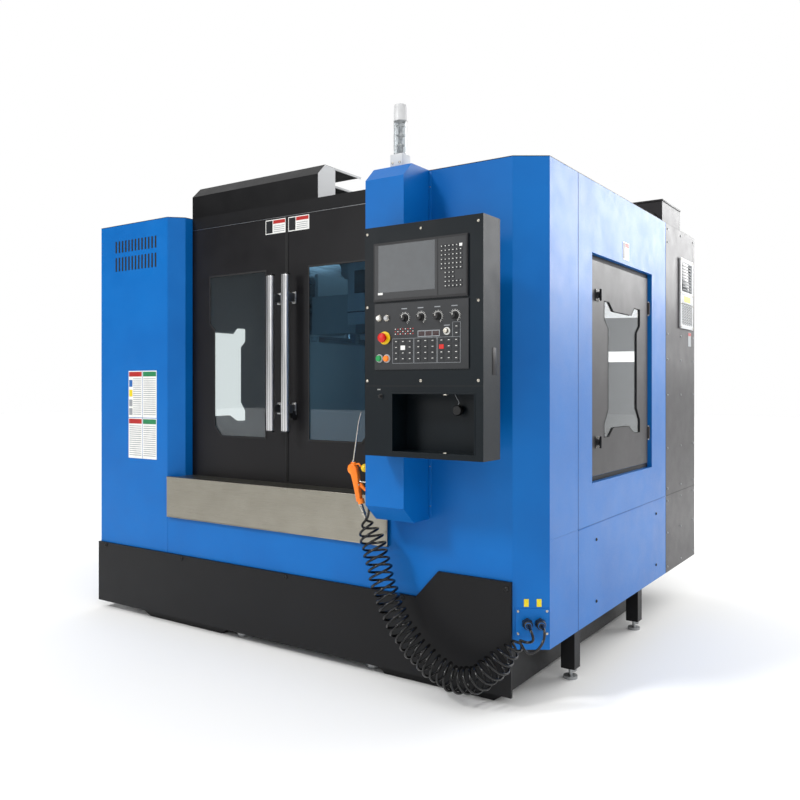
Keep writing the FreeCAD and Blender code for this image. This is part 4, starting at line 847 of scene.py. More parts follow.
def pendant_display():
    """The display: its bezel, the dark glass, and the block of small data keys."""
    film, keys = DISPLAY + 1.6, DISPLAY + 2.1
    face_piece("display_bezel_edge", ABS_BLACK, 1.6, ((778, 1177), (1524, 1739)),
               base=DISPLAY, by=0.8)
    face_piece("display_surround", FILM_BLACK, 0.5, ((784, 1056), (1532, 1732)), base=film)
    face_piece("display_glass", SCREEN, 0.25, ((800, 1046), (1556, 1730)), base=keys, by=0.1)
    face_piece("display_label", FILM_WHITE, 0.4, ((798, 820), (1548, 1556)), base=keys)
    face_piece("data_key_field", FILM_BLACK, 0.5, ((1060, 1172), (1532, 1732)), base=film)
    corners = [(1069 + column * 15.4, 1697 - row * 15.6) for row in range(10) for column in range(6)
               if row < 6 or column in (1, 2, 3) or (row > 7 and column != 0)]
    reset = corners.pop(5)
    face_piece("data_keys", ABS_DARK, 1.8, *[((x, x + 12), (z, z + 10.5)) for x, z in corners],
               base=keys, by=0.7)
    face_piece("data_key_marks", FILM_WHITE, 0.2,
               *[((x + 3.5, x + 7.5), (z + 5, z + 7.5)) for x, z in corners],
               base=keys + 1.8, by=0.05)
    face_piece("reset_key", ABS_WHITE, 1.8,
               ((reset[0], reset[0] + 12), (reset[1], reset[1] + 10.5)), base=keys, by=0.7)


def pendant_keys():
    """The key panel's film, keys, digit windows and lights, and the small volume knob."""
    face_piece("key_film_edge", ABS_DARK, 0.25,
               ((782, 1178), (1513, 1514)), ((782, 1178), (1274, 1275)),
               ((782, 783), (1274, 1514)), ((1177, 1178), (1274, 1514)), by=0)
    face_piece("digit_bezel", FILM_GREY, 0.6, ((971, 1064), (1388, 1411)))
    face_piece("digit_windows", DIGITS, 0.5,
               *[((x, x + 27), (1391, 1408)) for x in (974, 1004, 1034)], base=KEYS + 0.6)
    lights = [((x, x + 4), (z, z + 3)) for x in range(872, 950, 11) for z in (1400, 1409, 1418)]
    face_piece("indicator_lights", ABS_WHITE, 0.8, *lights[::2])
    face_piece("indicator_lights_red", ABS_RED, 0.8, *lights[1::2])
    white, red = (897, 1343), (1061, 1343)
    corners = [(867 + column % 3 * 30 + column // 3 * 97, 1301 + row * 21)
               for column in range(9) for row in range(4)]
    keys = [((x, x + 20), (z, z + 16)) for x, z in corners if (x, z) not in (white, red)]
    keys += [((1122, 1142), (z, z + 18)) for z in (1388, 1411)]
    marks = [((x[0] + 7, x[0] + 14), (z[0] + 9, z[0] + 11)) for x, z in keys]
    face_piece("mode_keys", ABS_DARK, 1.6, *keys, by=0.8)
    face_piece("mode_key_marks", FILM_WHITE, 0.2, *marks, base=KEYS + 1.6, by=0.05)
    for name, material, (x, z) in (("white_key", ABS_WHITE, white), ("red_key", ABS_RED, red)):
        face_piece(name, material, 1.6, ((x, x + 20), (z, z + 16)), by=0.8)
    frames = []
    for left, right in ((861, 953), (955, 1052), (1054, 1148)):
        frames += [((left, right), (1294, 1295)), ((left, right), (1384, 1385)),
                   ((left, left + 1), (1295, 1384)), ((right - 1, right), (1295, 1384))]
    frames += [((1116, 1117), (1385, 1435)), ((1147, 1148), (1385, 1435)),
               ((1116, 1148), (1435, 1436))]
    face_piece("key_group_lines", FILM_GREY, 0.2, *frames, by=0)
    face_piece("status_lights", ABS_WHITE, 1.2,
               ((791, 794), (1197, 1201)), ((799, 802), (1197, 1201)), base=PENDANT, by=0.4)
    piece("volume_knob", NYLON, "pendant",
          turned(at(806, PENDANT, 1174), OUT,
                 [(9, 0), (9, 3), (6, 4), (6, 12), (4.5, 13.5), (0, 13.5)], 24))


@later
def tick(bm, middle, turn, reach, size):
    """A bar printed at a reach from a knob's middle, turned to point away from it."""
    verts = bmesh.ops.create_cube(bm, size=1)["verts"]
    bmesh.ops.scale(bm, vec=Vector(size) * MM, verts=verts)
    bmesh.ops.rotate(bm, verts=verts, cent=(0, 0, 0),
                     matrix=Matrix.Rotation(math.radians(turn), 3, "Y"))
    bmesh.ops.translate(bm, vec=middle + dial(turn, reach), verts=verts)


def pendant_controls():
    """Detailed knobs, buttons, key switch and stop button on their own moving bodies."""
    z = 1458
    for name, x in (("mode_knob", 915), ("rapid_knob", 985), ("feed_knob", 1056),
                    ("speed_knob", 1126)):
        middle = at(x, KEYS + 0.3, z)
        ticks = [tick(middle, -60 + i * 17.5, 21, (1.1, 0.3, 3 if i % 2 else 5)) for i in range(13)]
        arc = [tick(middle, -60 + (i + 0.5) * 8.75, 17.5, (2.6, 0.3, 1.4)) for i in range(24)]
        piece(name + "_scale", FILM_WHITE, "pendant", *ticks, *arc)
        grips = [rod(at(x, 320, z) + dial(i * 20, 11.2), at(x, 331, z) + dial(i * 20, 10.864), 0.9,
                     sides=6) for i in range(18)]
        body = [(0, 0), (14, 0), (14, 4), (11.5, 5.5), (11, 18), (9.8, 19.7), (0, 19.9)]
        cap = piece(name + "_cap", NYLON, name, turned(middle, OUT, body), *grips)
        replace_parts(cap, name)
        piece(name + "_pointer", FILM_WHITE, name,
              slab((x - 1, x + 1), (334.1, 334.5), (z + 1, z + 9.5), 0.1, 1),
              slab((x - 1, x + 1), (318.2, 318.7), (z + 11.6, z + 13.8), 0.1, 1))
        face_piece(name + "_name_bar", FILM_GREY, 0.3, ((x - 14, x + 10), (z + 33, z + 36.5)), by=0)
    for name, x, z, r, cap, ring in (("power_on_button", 801, 1463, 8, ABS_WHITE, NICKEL),
                                     ("power_off_button", 836, 1462, 8, ABS_GREY, NICKEL),
                                     ("start_button", 803, 1314, 11, ABS_GREEN, ABS_GREY),
                                     ("hold_button", 836, 1313, 11, ABS_ORANGE, ABS_GREY)):
        top = [(0, 0), (r, 0), (r, 13.4), (r - 0.8, 14.6), (r - 2.2, 14.9), (r - 2.8, 14.4),
               (0, 14.4)]
        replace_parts(piece(name + "_cap", cap, name, turned(at(x, 311, z), OUT, top)), name)
        collar = [(r + 0.5, 0), (r + 4.5, 0), (r + 4.5, 2.4), (r + 3.4, 4.4), (r + 1.4, 5),
                  (r + 0.5, 4.6), (r + 0.5, 0)]
        piece(name + "_collar", ring, "pendant", turned(at(x, KEYS, z), OUT, collar))
    stop_button(827, 1389)
    key_switch(1093, 1405)


def stop_button(x, z):
    """The red mushroom head over its yellow collar."""
    piece("stop_collar", ABS_YELLOW, "pendant",
          turned(at(x, KEYS, z), OUT,
                 [(11.6, 0), (24, 0), (24, 3), (22, 5), (13, 6), (11.6, 6), (11.6, 0)], 40))
    head = piece("stop_head", ABS_RED, "emergency_stop",
                 turned(at(x, 311, z), OUT,
                        [(0, 0), (10.8, 0), (10.8, 15), (14, 17), (17.5, 20), (17.5, 24.5),
                         (16, 27.6), (11, 29.4), (5, 29.9), (0, 30)], 40))
    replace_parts(head, "emergency_stop")


def key_switch(x, z):
    """The barrel of the key switch with its slotted core."""
    barrel = [(0, 0), (9, 0), (9, 9), (7.6, 12.6), (5.4, 12.7), (5.2, 10.6), (0, 10.6)]
    made = piece("key_switch_barrel", NICKEL, "key_switch",
                 turned(at(x, KEYS + 0.3, z), OUT, barrel),
                 slab((x - 0.9, x + 0.9), (324.9, 325.4), (z - 3.6, z + 3.6)))
    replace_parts(made, "key_switch")
    piece("key_switch_ring", FILM_WHITE, "pendant",
          turned(at(x, KEYS, z), OUT,
                 [(9.4, 0), (13.5, 0), (13.5, 1.6), (12, 2.6), (9.4, 2.6), (9.4, 0)]))
    face_piece("key_switch_name_bar", FILM_GREY, 0.3, ((x - 12, x + 12), (z + 19, z + 22)), by=0)


# ---------------------------------------------------------------- the sides


def side_seams():
    """The seams, folds and screws of the panels of both sides, and the right side's plate."""
    for side, way in (("right", 1), ("left", -1)):
        out = ACROSS * way
        # The joint strips are painted groove shade: dark blue at the sides, black at the rear.
        for place, finish, lines in (
            ("side", GROOVE_SHADE_BLUE, (((358.6, 361.4), (222, 2075)), ((362, 1577), (628.6, 630.2)))),
            ("rear", RUBBER, (((1582, 2156), (628.6, 631.2)), ((1577.6, 1581.4), (222, 2075)))),
        ):
            piece(f"{side}_{place}_seams", finish, "machine",
                  *[block(beside(0, back[0], z[0], way), beside(0.7, back[1], z[1], way))
                    for back, z in lines])
        piece(side + "_panel_fold", BLUE, "machine",
              block(beside(0, 362, 625, way), beside(1.6, 1577, 628.4, way), 0.7, 3))
        piece(side + "_panel_screws", NYLON, "machine",
              *[pan_screw(beside(0, back, z, way), out, 7) for back in (562, 1406)
                for z in (559, 297)])
        piece(side + "_rear_screws", ZINC, "machine",
              *[pan_screw(beside(0, back, z, way), out, 5.5) for back in (1612, 1868, 2124)
                for z in (250, 430, 600, 665, 880, 1164, 1354, 1490, 1980, 2050)
                if side == "left" or not (1500 < z < 2000 and back > 1800)])
    piece("side_plate", FILM_WHITE, "machine", side_slab((0, 1), (900, 984), (1796, 1878), 0.3, 1))
    piece("side_plate_band", FILM_RED, "machine",
          side_slab((1, 1.5), (930, 980), (1856, 1874), 0.2, 1))
    piece("side_plate_field", FILM_BLACK, "machine",
          side_slab((1, 1.5), (904, 926), (1800, 1874), 0.2, 1))


def cooler_details():
    """The cabinet cooler: a raised pale frame, a dark filter window, a plate and a grille."""
    edge = ((1829, 1534), (2091, 1534), (2091, 1928), (1829, 1928))
    piece("cooler_frame", PALE, "machine",
          strip_frame([beside(6, *place) for place in edge], 22, 5, 2))
    piece("cooler_bars", PALE, "machine", side_slab((6, 11), (1850, 2070), (1722, 1742), 1.5),
          side_slab((6, 10), (1850, 2070), (1676, 1730), 1.5))
    piece("cooler_plate", FILM_YELLOW, "machine",
          side_slab((10, 10.8), (1900, 2030), (1686, 1718), 0.3, 1))
    piece("cooler_filter", SCREEN, "machine", side_slab((6, 7.5), (1866, 2054), (1744, 1902), 1))
    piece("cooler_slats", ABS_DARK, "machine",
          *[side_slab((7.5, 9), (1872, 2048), (1752 + i * 16.5, 1758 + i * 16.5), 0.8, 1)
            for i in range(9)])
    piece("cooler_grille_back", RUBBER, "machine",
          side_slab((6, 6.8), (1850, 2070), (1552, 1676), 0.4, 1))
    pitch = 19.6
    zigzag = []
    for z in range(1558, 1664, 15):
        for i in range(11):
            tilt = 6 if i % 2 else -6
            back = 1854 + i * pitch
            bar = ((back, z - tilt), (back + pitch, z + tilt), (back + pitch, z + tilt + 5.5),
                   (back, z - tilt + 5.5))
            zigzag.append(plate([beside(6.8, *place) for place in bar], ACROSS * 2.4))
    piece("cooler_grille", PALE, "machine", *zigzag)
    piece("cooler_screws", NICKEL, "machine",
          *[pan_screw(beside(11, back, z), ACROSS, 5) for back in (1838, 2082)
            for z in (1543, 1670, 1730, 1919)])
    piece("cooler_note", FILM_GREY, "machine",
          side_slab((0, 0.9), (2020, 2080), (1440, 1520), 0.3, 1))
    piece("cooler_note_band", FILM_RED, "machine",
          side_slab((0.9, 1.3), (2022, 2078), (1500, 1518), 0.2, 1))


def side_window_outline(more=0.0, far=1193):
    """The waisted outline of the side door's window, back from the front and up."""
    near, low, high = 698, 985, 1587
    y0, y1, z0, z1 = near - more, far + more, low - more, high + more
    tab = (far - near) / 8
    step = (high - low) / 16
    middle = (low + high) / 2
    waist = (high - low) * 0.3
    return ((y0, z0), (y0 + tab, z0), (y0 + tab * 1.9, z0 + step), (y1 - tab * 2.7, z0 + step),
            (y1 - tab * 1.4, z0), (y1, z0), (y1, z0 + step * 1.7), (y1 - tab * 0.8, middle - waist),
            (y1 - tab * 0.8, middle + waist), (y1, z1 - step * 2.2), (y1, z1), (y1 - tab * 1.4, z1),
            (y1 - tab * 2.1, z1 - step), (y0 + tab * 1.9, z1 - step), (y0 + tab, z1), (y0, z1),
            (y0, z1 - step * 2.2), (y0 + tab * 0.8, middle + waist),
            (y0 + tab * 0.8, middle - waist), (y0, z0 + step * 1.7))


def side_door_details():
    """The service door's window seal, hinge pins and latches, and its bay's seal."""
    piece("side_window_seal", RUBBER, "side_door",
          strip_frame([beside(-15, *place) for place in side_window_outline(1)], 2.4, 1.2, 0.4))
    bay = ((513, 803), (1337, 803), (1337, 1775), (513, 1775))
    piece("bay_seal", RUBBER, "machine",
          strip_frame([beside(-26, *place) for place in bay], 20, 3, 1))
    piece("side_hinge_pins", ZINC, "machine",
          *[rod(beside(-15, 1322.7, z - 6), beside(-15, 1322.7, z + 66), 5, by=1)
            for z in (947, 1571)])
    for name, z in (("lower_latch", 970), ("upper_latch", 1604)):
        piece(name + "_plate", NYLON, "side_door",
              side_slab((-15, -12), (586, 630), (z - 26, z + 26), 4, 3))
        piece(name + "_screws", NICKEL, "side_door",
              *[pan_screw(beside(-12, back, z + up), ACROSS, 2.6) for back in (591, 625)
                for up in (-21, 21)])
        wing = piece(name + "_wing", NYLON, name,
                     turned(beside(-11.7, 608, z), ACROSS,
                            [(0, 0), (15, 0), (15, 3), (13, 5), (12.5, 10), (0, 10)], 28),
                     side_slab((-3, 7.5), (603.5, 612.5), (z - 26, z + 26), 3.5, 3))
        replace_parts(wing, name)


def left_side_details():
    """The left side's service cover with its window, screws and pull."""
    piece("left_cover", GREY, "machine",
          block(beside(0, 537, 827, -1), beside(4, 1332, 1751, -1), 2))
    pane = [beside(4, *place, -1) for place in side_window_outline(far=1085)][::-1]
    piece("left_window_pane", SCREEN, "machine", plate(pane, ACROSS * -1.5))
    rim = [beside(4, *place, -1) for place in side_window_outline(5, 1085)][::-1]
    piece("left_window_seal", RUBBER, "machine", strip_frame(rim, 11, 3.2, 1))
    piece("left_cover_screws", ZINC, "machine",
          *[pan_screw(beside(4, back, z, -1), -ACROSS, 7) for back in (562, 935, 1307)
            for z in (852, 1726)])
    piece("left_cover_pull", ANODISED, "machine",
          *[rod(beside(4, 600, z, -1), beside(24, 600, z, -1), 5, by=1) for z in (1230, 1350)],
          rod(beside(22, 600, 1220, -1), beside(22, 600, 1360, -1), 5, by=2))


# ---------------------------------------------------------------- roof, hood and lamp


def roof_details():
    """Folded roof edges, their screws, and the cable box's lid, glands and cables."""
    edges = [block(above(x, 90, 0), above(x + 38, 1560, 2), 0.8) for x in (-1306, 1268)]
    piece("roof_welts", BLACK, "machine", *edges,
          block(above(-1260, 2117, 0), above(1260, 2153, 2), 0.8),
          block(above(-764, 130, 0), above(-756, 2113, 1.5), 0.5))
    places = [(x, 170 + i * 270) for x in (-1287, 1287) for i in range(6)]
    places += [(-1200 + i * 300, 2135) for i in range(9)]
    piece("roof_screws", ZINC, "machine", *[pan_screw(above(*place, 2), UP, 7) for place in places])
    piece("cable_box_lid", GREY, "machine",
          block(above(893, 1720, 150), above(1251, 2080, 160), 1.5))
    entries = (940, 1025, 1110, 1195)
    piece("cable_box_glands", NYLON, "machine",
          *[nut for x in entries for nut in
            (rod(above(x, 1724, 70), above(x, 1714, 70), 22, sides=6, by=1),
             turned(above(x, 1714, 70), OUT, [(18, 0), (18, 14), (15, 20), (9, 24), (0, 24)], 20))])
    for i, x in enumerate(entries):
        side, back = i * 30, i * 40
        run = [above(x, y, up) for y, up in
               ((1702, 70), (1662, 70), (1622, 60), (1592, 22), (1552, 10), (1512, 10))]
        run += [above(x - 90 - i * 60, 1440, 10), above(520 - side, 1360 - back, 10),
                above(500 - side, 1340 - back, -30), above(490 - side, 1330 - back, -120)]
        wire(f"roof_cable_{i}", run, 8, RUBBER)


def hood_details():
    """The hood's ribs, bolts, pale end, rear shelf and folded lips, and the header's edge."""
    piece("hood_ribs", BLACK, "machine",
          *[block(above(x - 14, 300, 201), above(x + 14, 540, 204), 1) for x in (-560, -300, -60)])
    piece("hood_bolts", NYLON, "machine",
          *[pan_screw(at(x, -212, 2092), OUT, 5) for x in range(-770, 23, 132)])
    end = ((214, 0.5), (214, 147), (266, 199), (344, 199), (344, 0.5))
    piece("hood_end_cover", PALE, "machine",
          plate([above(61, *place) for place in end], ACROSS * 1.2))
    piece("hood_rear_shelf", BLACK, "machine",
          block(above(-810, 346, 113), above(60, 554, 115), 0.5))
    piece("hood_lips", PALE, "machine",
          *[block(above(60, 346, up - 11), above(61.2, 554, up), 0.4) for up in (115, 201)])
    piece("header_edge_strip", ZINC, "machine",
          slab((-748, 600), (DOOR, DOOR + 1.5), (2016.5, 2018.5), 0.4, 1))


def lamp():
    """The signal lamp: a folded bracket, a ribbed clear tube over its stack, and a white cap."""
    x, y = 723, 60
    bracket = piece("lamp_bracket", PALE, "machine", slab((693, 753), (30, 90), (2079, 2140), 3, 3))
    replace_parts(bracket, "signal_lamp")
    piece("lamp_screws", NICKEL, "machine",
          *[pan_screw(at(side, 90, 2104), OUT, 5) for side in (706, 740)])
    ribs = [place for i in range(21) for place in ((28, 3 + i * 6.2), (27.2, 6.1 + i * 6.2))]
    piece("lamp_tube", CLEAR, "machine",
          turned(at(x, y, 2141), UP, [(24, 0), (28, 0), *ribs, (28, 134), (24, 134), (24, 0)], 36))
    piece("lamp_core", FILM_GREY, "machine",
          turned(at(x, y, 2141), UP, [(0, 0), (13, 0), (13, 30), (9, 33), (9, 128), (0, 128)], 24))
    boards = []
    for z in (2176, 2216, 2256):
        boards.append(turned(at(x, y, z), UP, [(9.4, 0), (17, 0), (17, 3), (9.4, 3), (9.4, 0)], 24))
        for turn in range(0, -360, -60):
            foot = at(x, y, z + 3) + bearing(turn, 13)
            boards.append(rod(foot, foot + UP * 6 * MM, 2.4, sides=10, by=0.4))
    piece("lamp_boards", ABS_WHITE, "machine", *boards)
    # The cap's grey is painted shade on white plastic.
    piece("lamp_cap", SHADED_LAMP_WHITE, "machine",
          turned(at(x, y, 2275), UP,
                 [(0, 0), (28.2, 0), (28.2, 5), (27, 7), (25.8, 56), (24, 66),
                  (18, 69.4), (0, 70)], 36))


# ---------------------------------------------------------------- the back


def rear_details():
    """Cabinet doors with hinges and locks, louvres, the main switch and the service entries."""
    piece("rear_doors", GREY, "machine",
          *[block(behind(x, 0, low), behind(x + wide, out, high), 2) for x, wide, out, low, high in
            ((-1240, 580, 5, 700, 1960), (660, 580, 5, 700, 1960), (-560, 1120, 4, 1100, 1960),
             (-560, 1120, 4, 300, 1050))])
    piece("rear_hinges", NICKEL, "machine",
          *[rod(behind(x, 6, z - 40), behind(x, 6, z + 40), 6, by=1)
            for x in (-1240, 1240) for z in (820, 1330, 1840)])
    lock = [(0, 0), (17, 0), (17, 3), (13, 6), (6, 6), (6, 3), (0, 3)]
    piece("rear_locks", ABS_BLACK, "machine",
          *[turned(behind(x, 5, z), -OUT, lock, 28) for x in (-690, 690) for z in (900, 1760)])
    piece("rear_louvres", GREY, "machine",
          *[plate([behind(x, 5, z), behind(x, 5, z + 18), behind(x, 14, z)], ACROSS * 300)
            for x in (-1100, 800) for z in range(760, 995, 26)])
    piece("main_switch_plate", ABS_YELLOW, "machine",
          block(behind(-1010, 5, 1480), behind(-890, 12, 1600), 3))
    piece("main_switch_knob", ABS_RED, "machine",
          turned(behind(-950, 12, 1540), -OUT, [(0, 0), (34, 0), (34, 8), (28, 12), (0, 12)]),
          block(behind(-959, 24, 1508), behind(-941, 36, 1572), 4))
    piece("rear_cover_screws", ZINC, "machine",
          *[pan_screw(behind(x, 4, z), -OUT, 6) for x in (-540, 0, 540)
            for z in (320, 660, 1030, 1120, 1530, 1940)])
    piece("rear_glands", NYLON, "machine",
          *[nut for x in (820, 900, 980, 1060) for nut in
            (rod(behind(x, 0, 420), behind(x, 8, 420), 24, sides=6, by=1),
             turned(behind(x, 8, 420), -OUT, [(19, 0), (19, 16), (15, 23), (0, 23)], 24))])
    piece("air_panel", PALE, "machine", block(behind(-1180, 0, 380), behind(-980, 6, 560), 3))
    bowl = [(0, 0), (17, 0), (17, 18), (15, 22), (15, 66), (10, 76), (0, 78)]
    piece("air_filter_bowls", ABS_GREY, "machine",
          *[draw for x in (-1140, -1080, -1020) for draw in
            (turned(behind(x, 20, 520), -UP, bowl, 24),
             rod(behind(x, 20, 520), behind(x, 20, 540), 12, by=2),
             rod(behind(x, 6, 508), behind(x, 20, 508), 10))])


# ---------------------------------------------------------------- inside the work chamber


def chamber_liners():
    """Pale enamelled liners with their folds, the window's film glowing with painted daylight, the
    work lamps and chutes.
    """
    left, middle = (-1299, -156), (354, 1042)
    right = (((-160, -660), (500, 2060)), ((-1230, -1370), (500, 2060)),
             ((-664, -1226), (500, 950)), ((-664, -1226), (1622, 2060)))
    piece("chamber_liners", LINER, "machine", slab((-1302, -1299), (-160, -1370), (500, 2060), 1),
          *[slab((1042, 1046), out, z, 1) for out, z in right],
          *[slab(x, (-1344, -1348), (740, 2060), 1) for x in (left, middle)])
    folds = []
    for z in (760, 1040, 1320, 1600, 1880):
        folds += [slab(x, (-1340, -1344), (z, z + 3), 0.8) for x in (left, middle)]
        if z < 900 or z > 1800:
            folds.append(slab((1038, 1042), (-170, -1340), (z, z + 3), 0.8))
    piece("liner_folds", LINER, "machine", *folds)
    film = [at(-1296, -back, z) for back, z in side_window_outline(far=1085)]
    # The film's glow is painted daylight.
    piece("left_window_film", PAINTED_DAYLIGHT, "machine", plate(film, ACROSS * -2))
    piece("work_lamp_housings", ANODISED, "machine",
          *[slab(x, (-170, -215), (1980, 2012), 6, 3) for x in ((-760, -420), (300, 560))])
    piece("work_lamp_diffusers", LAMP_TUBE, "machine",
          *[slab(x, (-178, -207), (1974, 1981), 2) for x in ((-750, -430), (310, 550))])
    piece("chip_chutes", LINER_STAINLESS, "machine",
          *[plate([at(start, -160, low), at(end, -160, high), at(end, -160, high - 4),
                   at(start, -160, low - 4)], -OUT * 1180)
            for start, end, low, high in ((-1299, -400, 700, 500), (600, 1042, 500, 700))])


def head_details():
    """The head's nose cover, and the coolant ring with its jointed nozzles."""
    wide = (-86, 284)
    piece("head_front_cover", PALE, "spindle_head", slab(wide, (-634, -640), (1536, 1886), 6, 3))
    piece("head_cover_band", ABS_DARK, "spindle_head", slab(wide, (-632, -634), (1600, 1606), 0.8),
          slab((-40, 238), (-632, -634), (1700, 1820), 1))
    ring = [(70, 0), (112, 0), (112, 12), (104, 20), (78, 20), (70, 14), (70, 0)]
    piece("coolant_ring", ANODISED, "spindle_head", turned(at(*SPINDLE, 1530), -UP, ring, 40))
    bead = [(0, 0), (6, 0), (8.5, 4), (8.5, 9), (6, 14), (0, 14)]
    for number, turn in enumerate((40, 140, 220, 320)):
        start = at(*SPINDLE, 1512) + bearing(turn, 93)
        beads = [turned(start + UP * (0.5 - 15 * k) * MM - bearing(turn, k * k * 1.4), -UP,
                        bead, 16) for k in range(5)]
        end = start - UP * 78 * MM - bearing(turn, 32)
        piece(f"coolant_nozzle_{number}", FILM_BLUE if number % 2 else ABS_ORANGE, "spindle_head",
              *beads, rod(end, end - UP * 20 * MM - bearing(turn, 12), 6, 3, 16))


def motor_details():
    """The spindle motor's flange, fins, fan guard and terminal box, and the head's side covers."""
    x, out = SPINDLE
    piece("motor_flange", ABS_DARK, "spindle_head",
          slab((-23, 221), (-678, -922), (1960, 1972), 3, 3),
          *[hex_head(at(x + side, out + deep, 1972), 19, 9) for side in (-107, 107)
            for deep in (107, -107)])
    fins = []
    for step in range(-98, 99, 14):
        thin, long = (step - 2.5, step + 2.5), (1990, 2190)
        fins += [slab((x + thin[0], x + thin[1]), (edge, edge - 4), long, 1.2)
                 for edge in (-686, -910)]
        fins += [slab((edge, edge + 4), (out - thin[0], out - thin[1]), long, 1.2)
                 for edge in (-15, 209)]
    piece("motor_fins", CASTING, "spindle_head", *fins)
    piece("fan_cover", ABS_DARK, "spindle_head", slab((-13, 211), (-688, -912), (2200, 2236), 6, 3))
    rings = [turned(at(x, out, 2236), UP, [(r, 0), (r + 4, 0), (r + 4, 3), (r, 3), (r, 0)], 36)
             for r in (28, 48, 68, 88)]
    middle = at(x, out, 2237.5)
    piece("fan_guard", NICKEL, "spindle_head", *rings,
          *[rod(middle - bearing(turn, 96), middle + bearing(turn, 96), 2) for turn in (45, 135)])
    piece("terminal_box", ABS_DARK, "spindle_head",
          slab((39, 159), (-914, -960), (2040, 2150), 5, 3),
          rod(at(x, -937, 2040), at(x, -937, 2018), 14, sides=6, by=1.5))
    walls = ((-81, -1), (279, 1))
    piece("head_side_covers", PALE, "spindle_head",
          *[slab((wall, wall + way * 3), (-700, -1240), (1600, 1900), 1.5) for wall, way in walls])
    piece("head_cover_screws", ZINC, "spindle_head",
          *[pan_screw(at(wall + way * 3, deep, z), ACROSS * way, 5) for wall, way in walls
            for deep in (-716, -970, -1224) for z in (1616, 1884)])


@later
def lifting_eye(bm, centre):
    """A ring of 16 mm bar, 52 mm across its middle, in the front's plane."""
    place = Matrix.Translation(centre + Vector((26 * MM, 0, 0)))
    ring = bmesh.ops.create_circle(
        bm, cap_ends=False, segments=14, radius=8 * MM,
        matrix=place @ Matrix.Rotation(math.radians(90), 4, "X"),
    )["verts"]
    edges = {e for v in ring for e in v.link_edges}
    bmesh.ops.spin(
        bm, geom=list(ring) + list(edges), cent=centre, axis=-OUT, angle=2 * math.pi, steps=28,
        use_merge=True, use_duplicate=False,
    )


def column_details():
    """The column's top cover with its bolts and lifting eyes."""
    piece("column_cover", PALE, "machine", slab((-150, 348), (-1400, -1866), (2050, 2054), 1.5))
    piece("column_bolts", ZINC, "machine",
          *[hex_head(at(x, out, 2054), 20, 9) for x in (-128, 99, 326) for out in (-1422, -1844)])
    eyes = [draw for x in (-40, 238) for draw in
            (rod(at(x, -1633, 2054), at(x, -1633, 2064), 26, by=2),
             lifting_eye(at(x, -1633, 2092)))]
    piece("lifting_eyes", ZINC, "machine", *eyes, merged)


def tool_changer_details():
    """Tool holders in the magazine's pots, with their pull studs outward."""
    pots = 20
    centre = Vector((-551 * MM, FRONT + 800 * MM, 1765 * MM))
    holder = [(0, 0), (20, 0), (20, 4), (31, 5), (31, 9), (27, 11), (27, 14), (31, 16), (31, 20),
              (21, 22), (19, 40), (9, 41), (9, 58), (0, 58)]
    holders = []
    for i in range(pots):
        if i % 3 != 1:
            turn = 2 * math.pi * i / pots
            side = Vector((3, 232 * math.cos(turn), 232 * math.sin(turn))) * MM
            holders.append(turned(centre + side, -ACROSS, holder, 20))
    piece("tool_holders", GROUND, "magazine_drum", *holders)


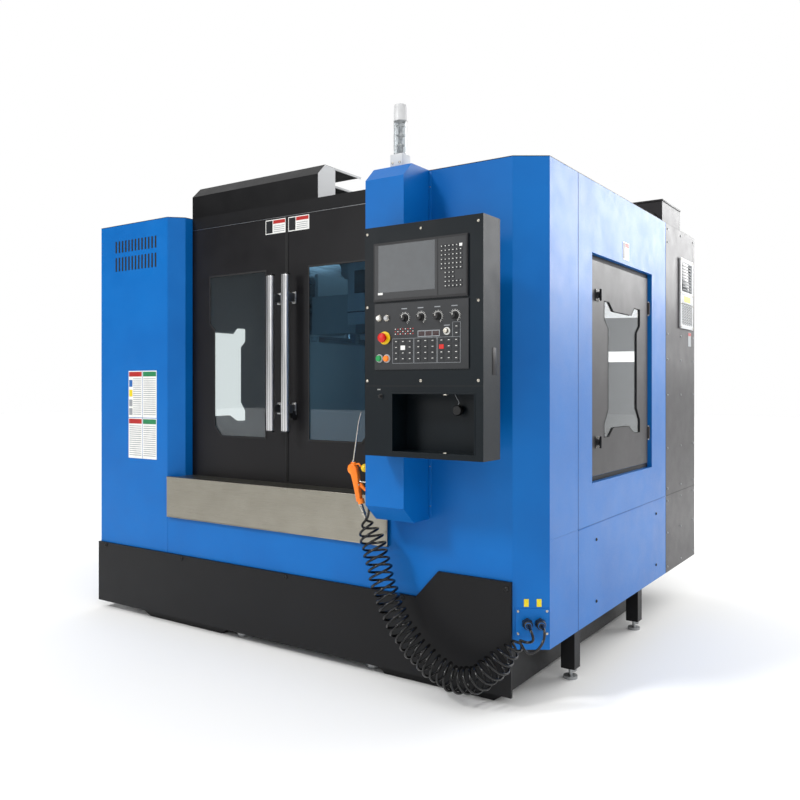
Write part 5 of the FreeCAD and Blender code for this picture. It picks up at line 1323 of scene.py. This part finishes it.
def under_details():
    """Foot nuts, the tanks' welts and covers, and their drains."""
    nuts = [rod(at(x, -back, 30), at(x, -back, 44), 30, sides=6, by=1.5)
            for x in (-293, 491) for back in (82, 514, 946, 1378, 1942)]
    nuts += [rod(at(x, -back, low), at(x, -back, low + 8), 15, sides=6, by=1)
             for x in (-1248, 1248) for back in (455, 1270) for low in (20, 36)]
    piece("foot_nuts", ZINC, "machine", *nuts)
    piece("tank_welts", BLACK, "machine",
          *[draw for left, right in ((-1036, -335), (533, 1163)) for draw in
            (slab((left + 4, right - 4), (-30, -28), (200, 208), 1),
             slab((left + 60, left + 180), (-30, -27), (90, 150), 3))])
    piece("tank_drains", BRASS, "machine",
          *[draw for x in (-900, 1000) for draw in
            (rod(at(x, -30, 110), at(x, -12, 110), 14, sides=6, by=1),
             rod(at(x, -12, 110), at(x, -8, 110), 9, by=1))])


# ---------------------------------------------------------------- finishes of the CAD nodes


def finish_nodes():
    """Gives every node of the construction the material that it is made of."""
    finishes = {
        BLUE: ("left_front_column", "right_front_pillar", "front_apron", "arm_cowl", "gland_plate"),
        SIDE_BLUE: ("right_side_panels", "left_side_panels"),
        BLACK: ("front_skirt", "top_hood", "enclosure_legs", "coolant_tanks", "front_header",
                "door_tracks", "roof_panels"),
        DOOR_BLACK: ("left_door", "right_door"),
        PENDANT_BLACK: ("pendant_box",),
        GREY: ("rear_panels", "side_door", "cable_box"),
        PALE: ("cabinet_cooler",),
        CASTING: ("bed_casting", "column_casting", "saddle", "spindle_head", "magazine_bracket"),
        GROUND: ("linear_rails", "table", "spindle", "x_ballscrew", "y_ballscrew", "z_ballscrew",
                 "change_arm", "magazine_drum"),
        STAINLESS: ("door_sill",),
        ANODISED: ("left_door_handle", "right_door_handle"),
        WINDOW: ("left_door_window", "side_door_window"),
        # The right window's deeper blue is painted shade.
        SHADE_TINTED_SHEET: ("right_door_window",),
        ABS_GREY: ("signal_lamp",),
        ABS_DARK: ("display_unit", "key_panel"),
        NYLON: ("upper_latch", "lower_latch", "mode_knob", "rapid_knob", "feed_knob",
                "speed_knob", "key_switch"),
        ABS_WHITE: ("power_on_button", "power_off_button"),
        ABS_RED: ("emergency_stop",),
        ABS_GREEN: ("start_button",),
        ABS_ORANGE: ("hold_button", "air_gun", "air_gun_trigger"),
        HOSE: ("hose_coil",),
        ZINC: ("levelling_feet",),
        BRASS: ("hook_and_valve",),
    }
    for material, names in finishes.items():
        for name in names:
            slots = NODES[name].data.materials
            slots.clear()
            slots.append(material)


set_stage()
finish_nodes()
hang_hoses()
for make in (column_slots, chart_plates, door_plates, door_details, sill_and_skirt_details,
             cowl_details, corner_details, blow_gun, hook_and_valve, pendant_shell,
             pendant_display, pendant_keys, pendant_controls, side_seams, cooler_details,
             side_door_details, roof_details, hood_details, lamp, rear_details,
             left_side_details, chamber_liners, head_details, motor_details, column_details,
             tool_changer_details, under_details):
    make()
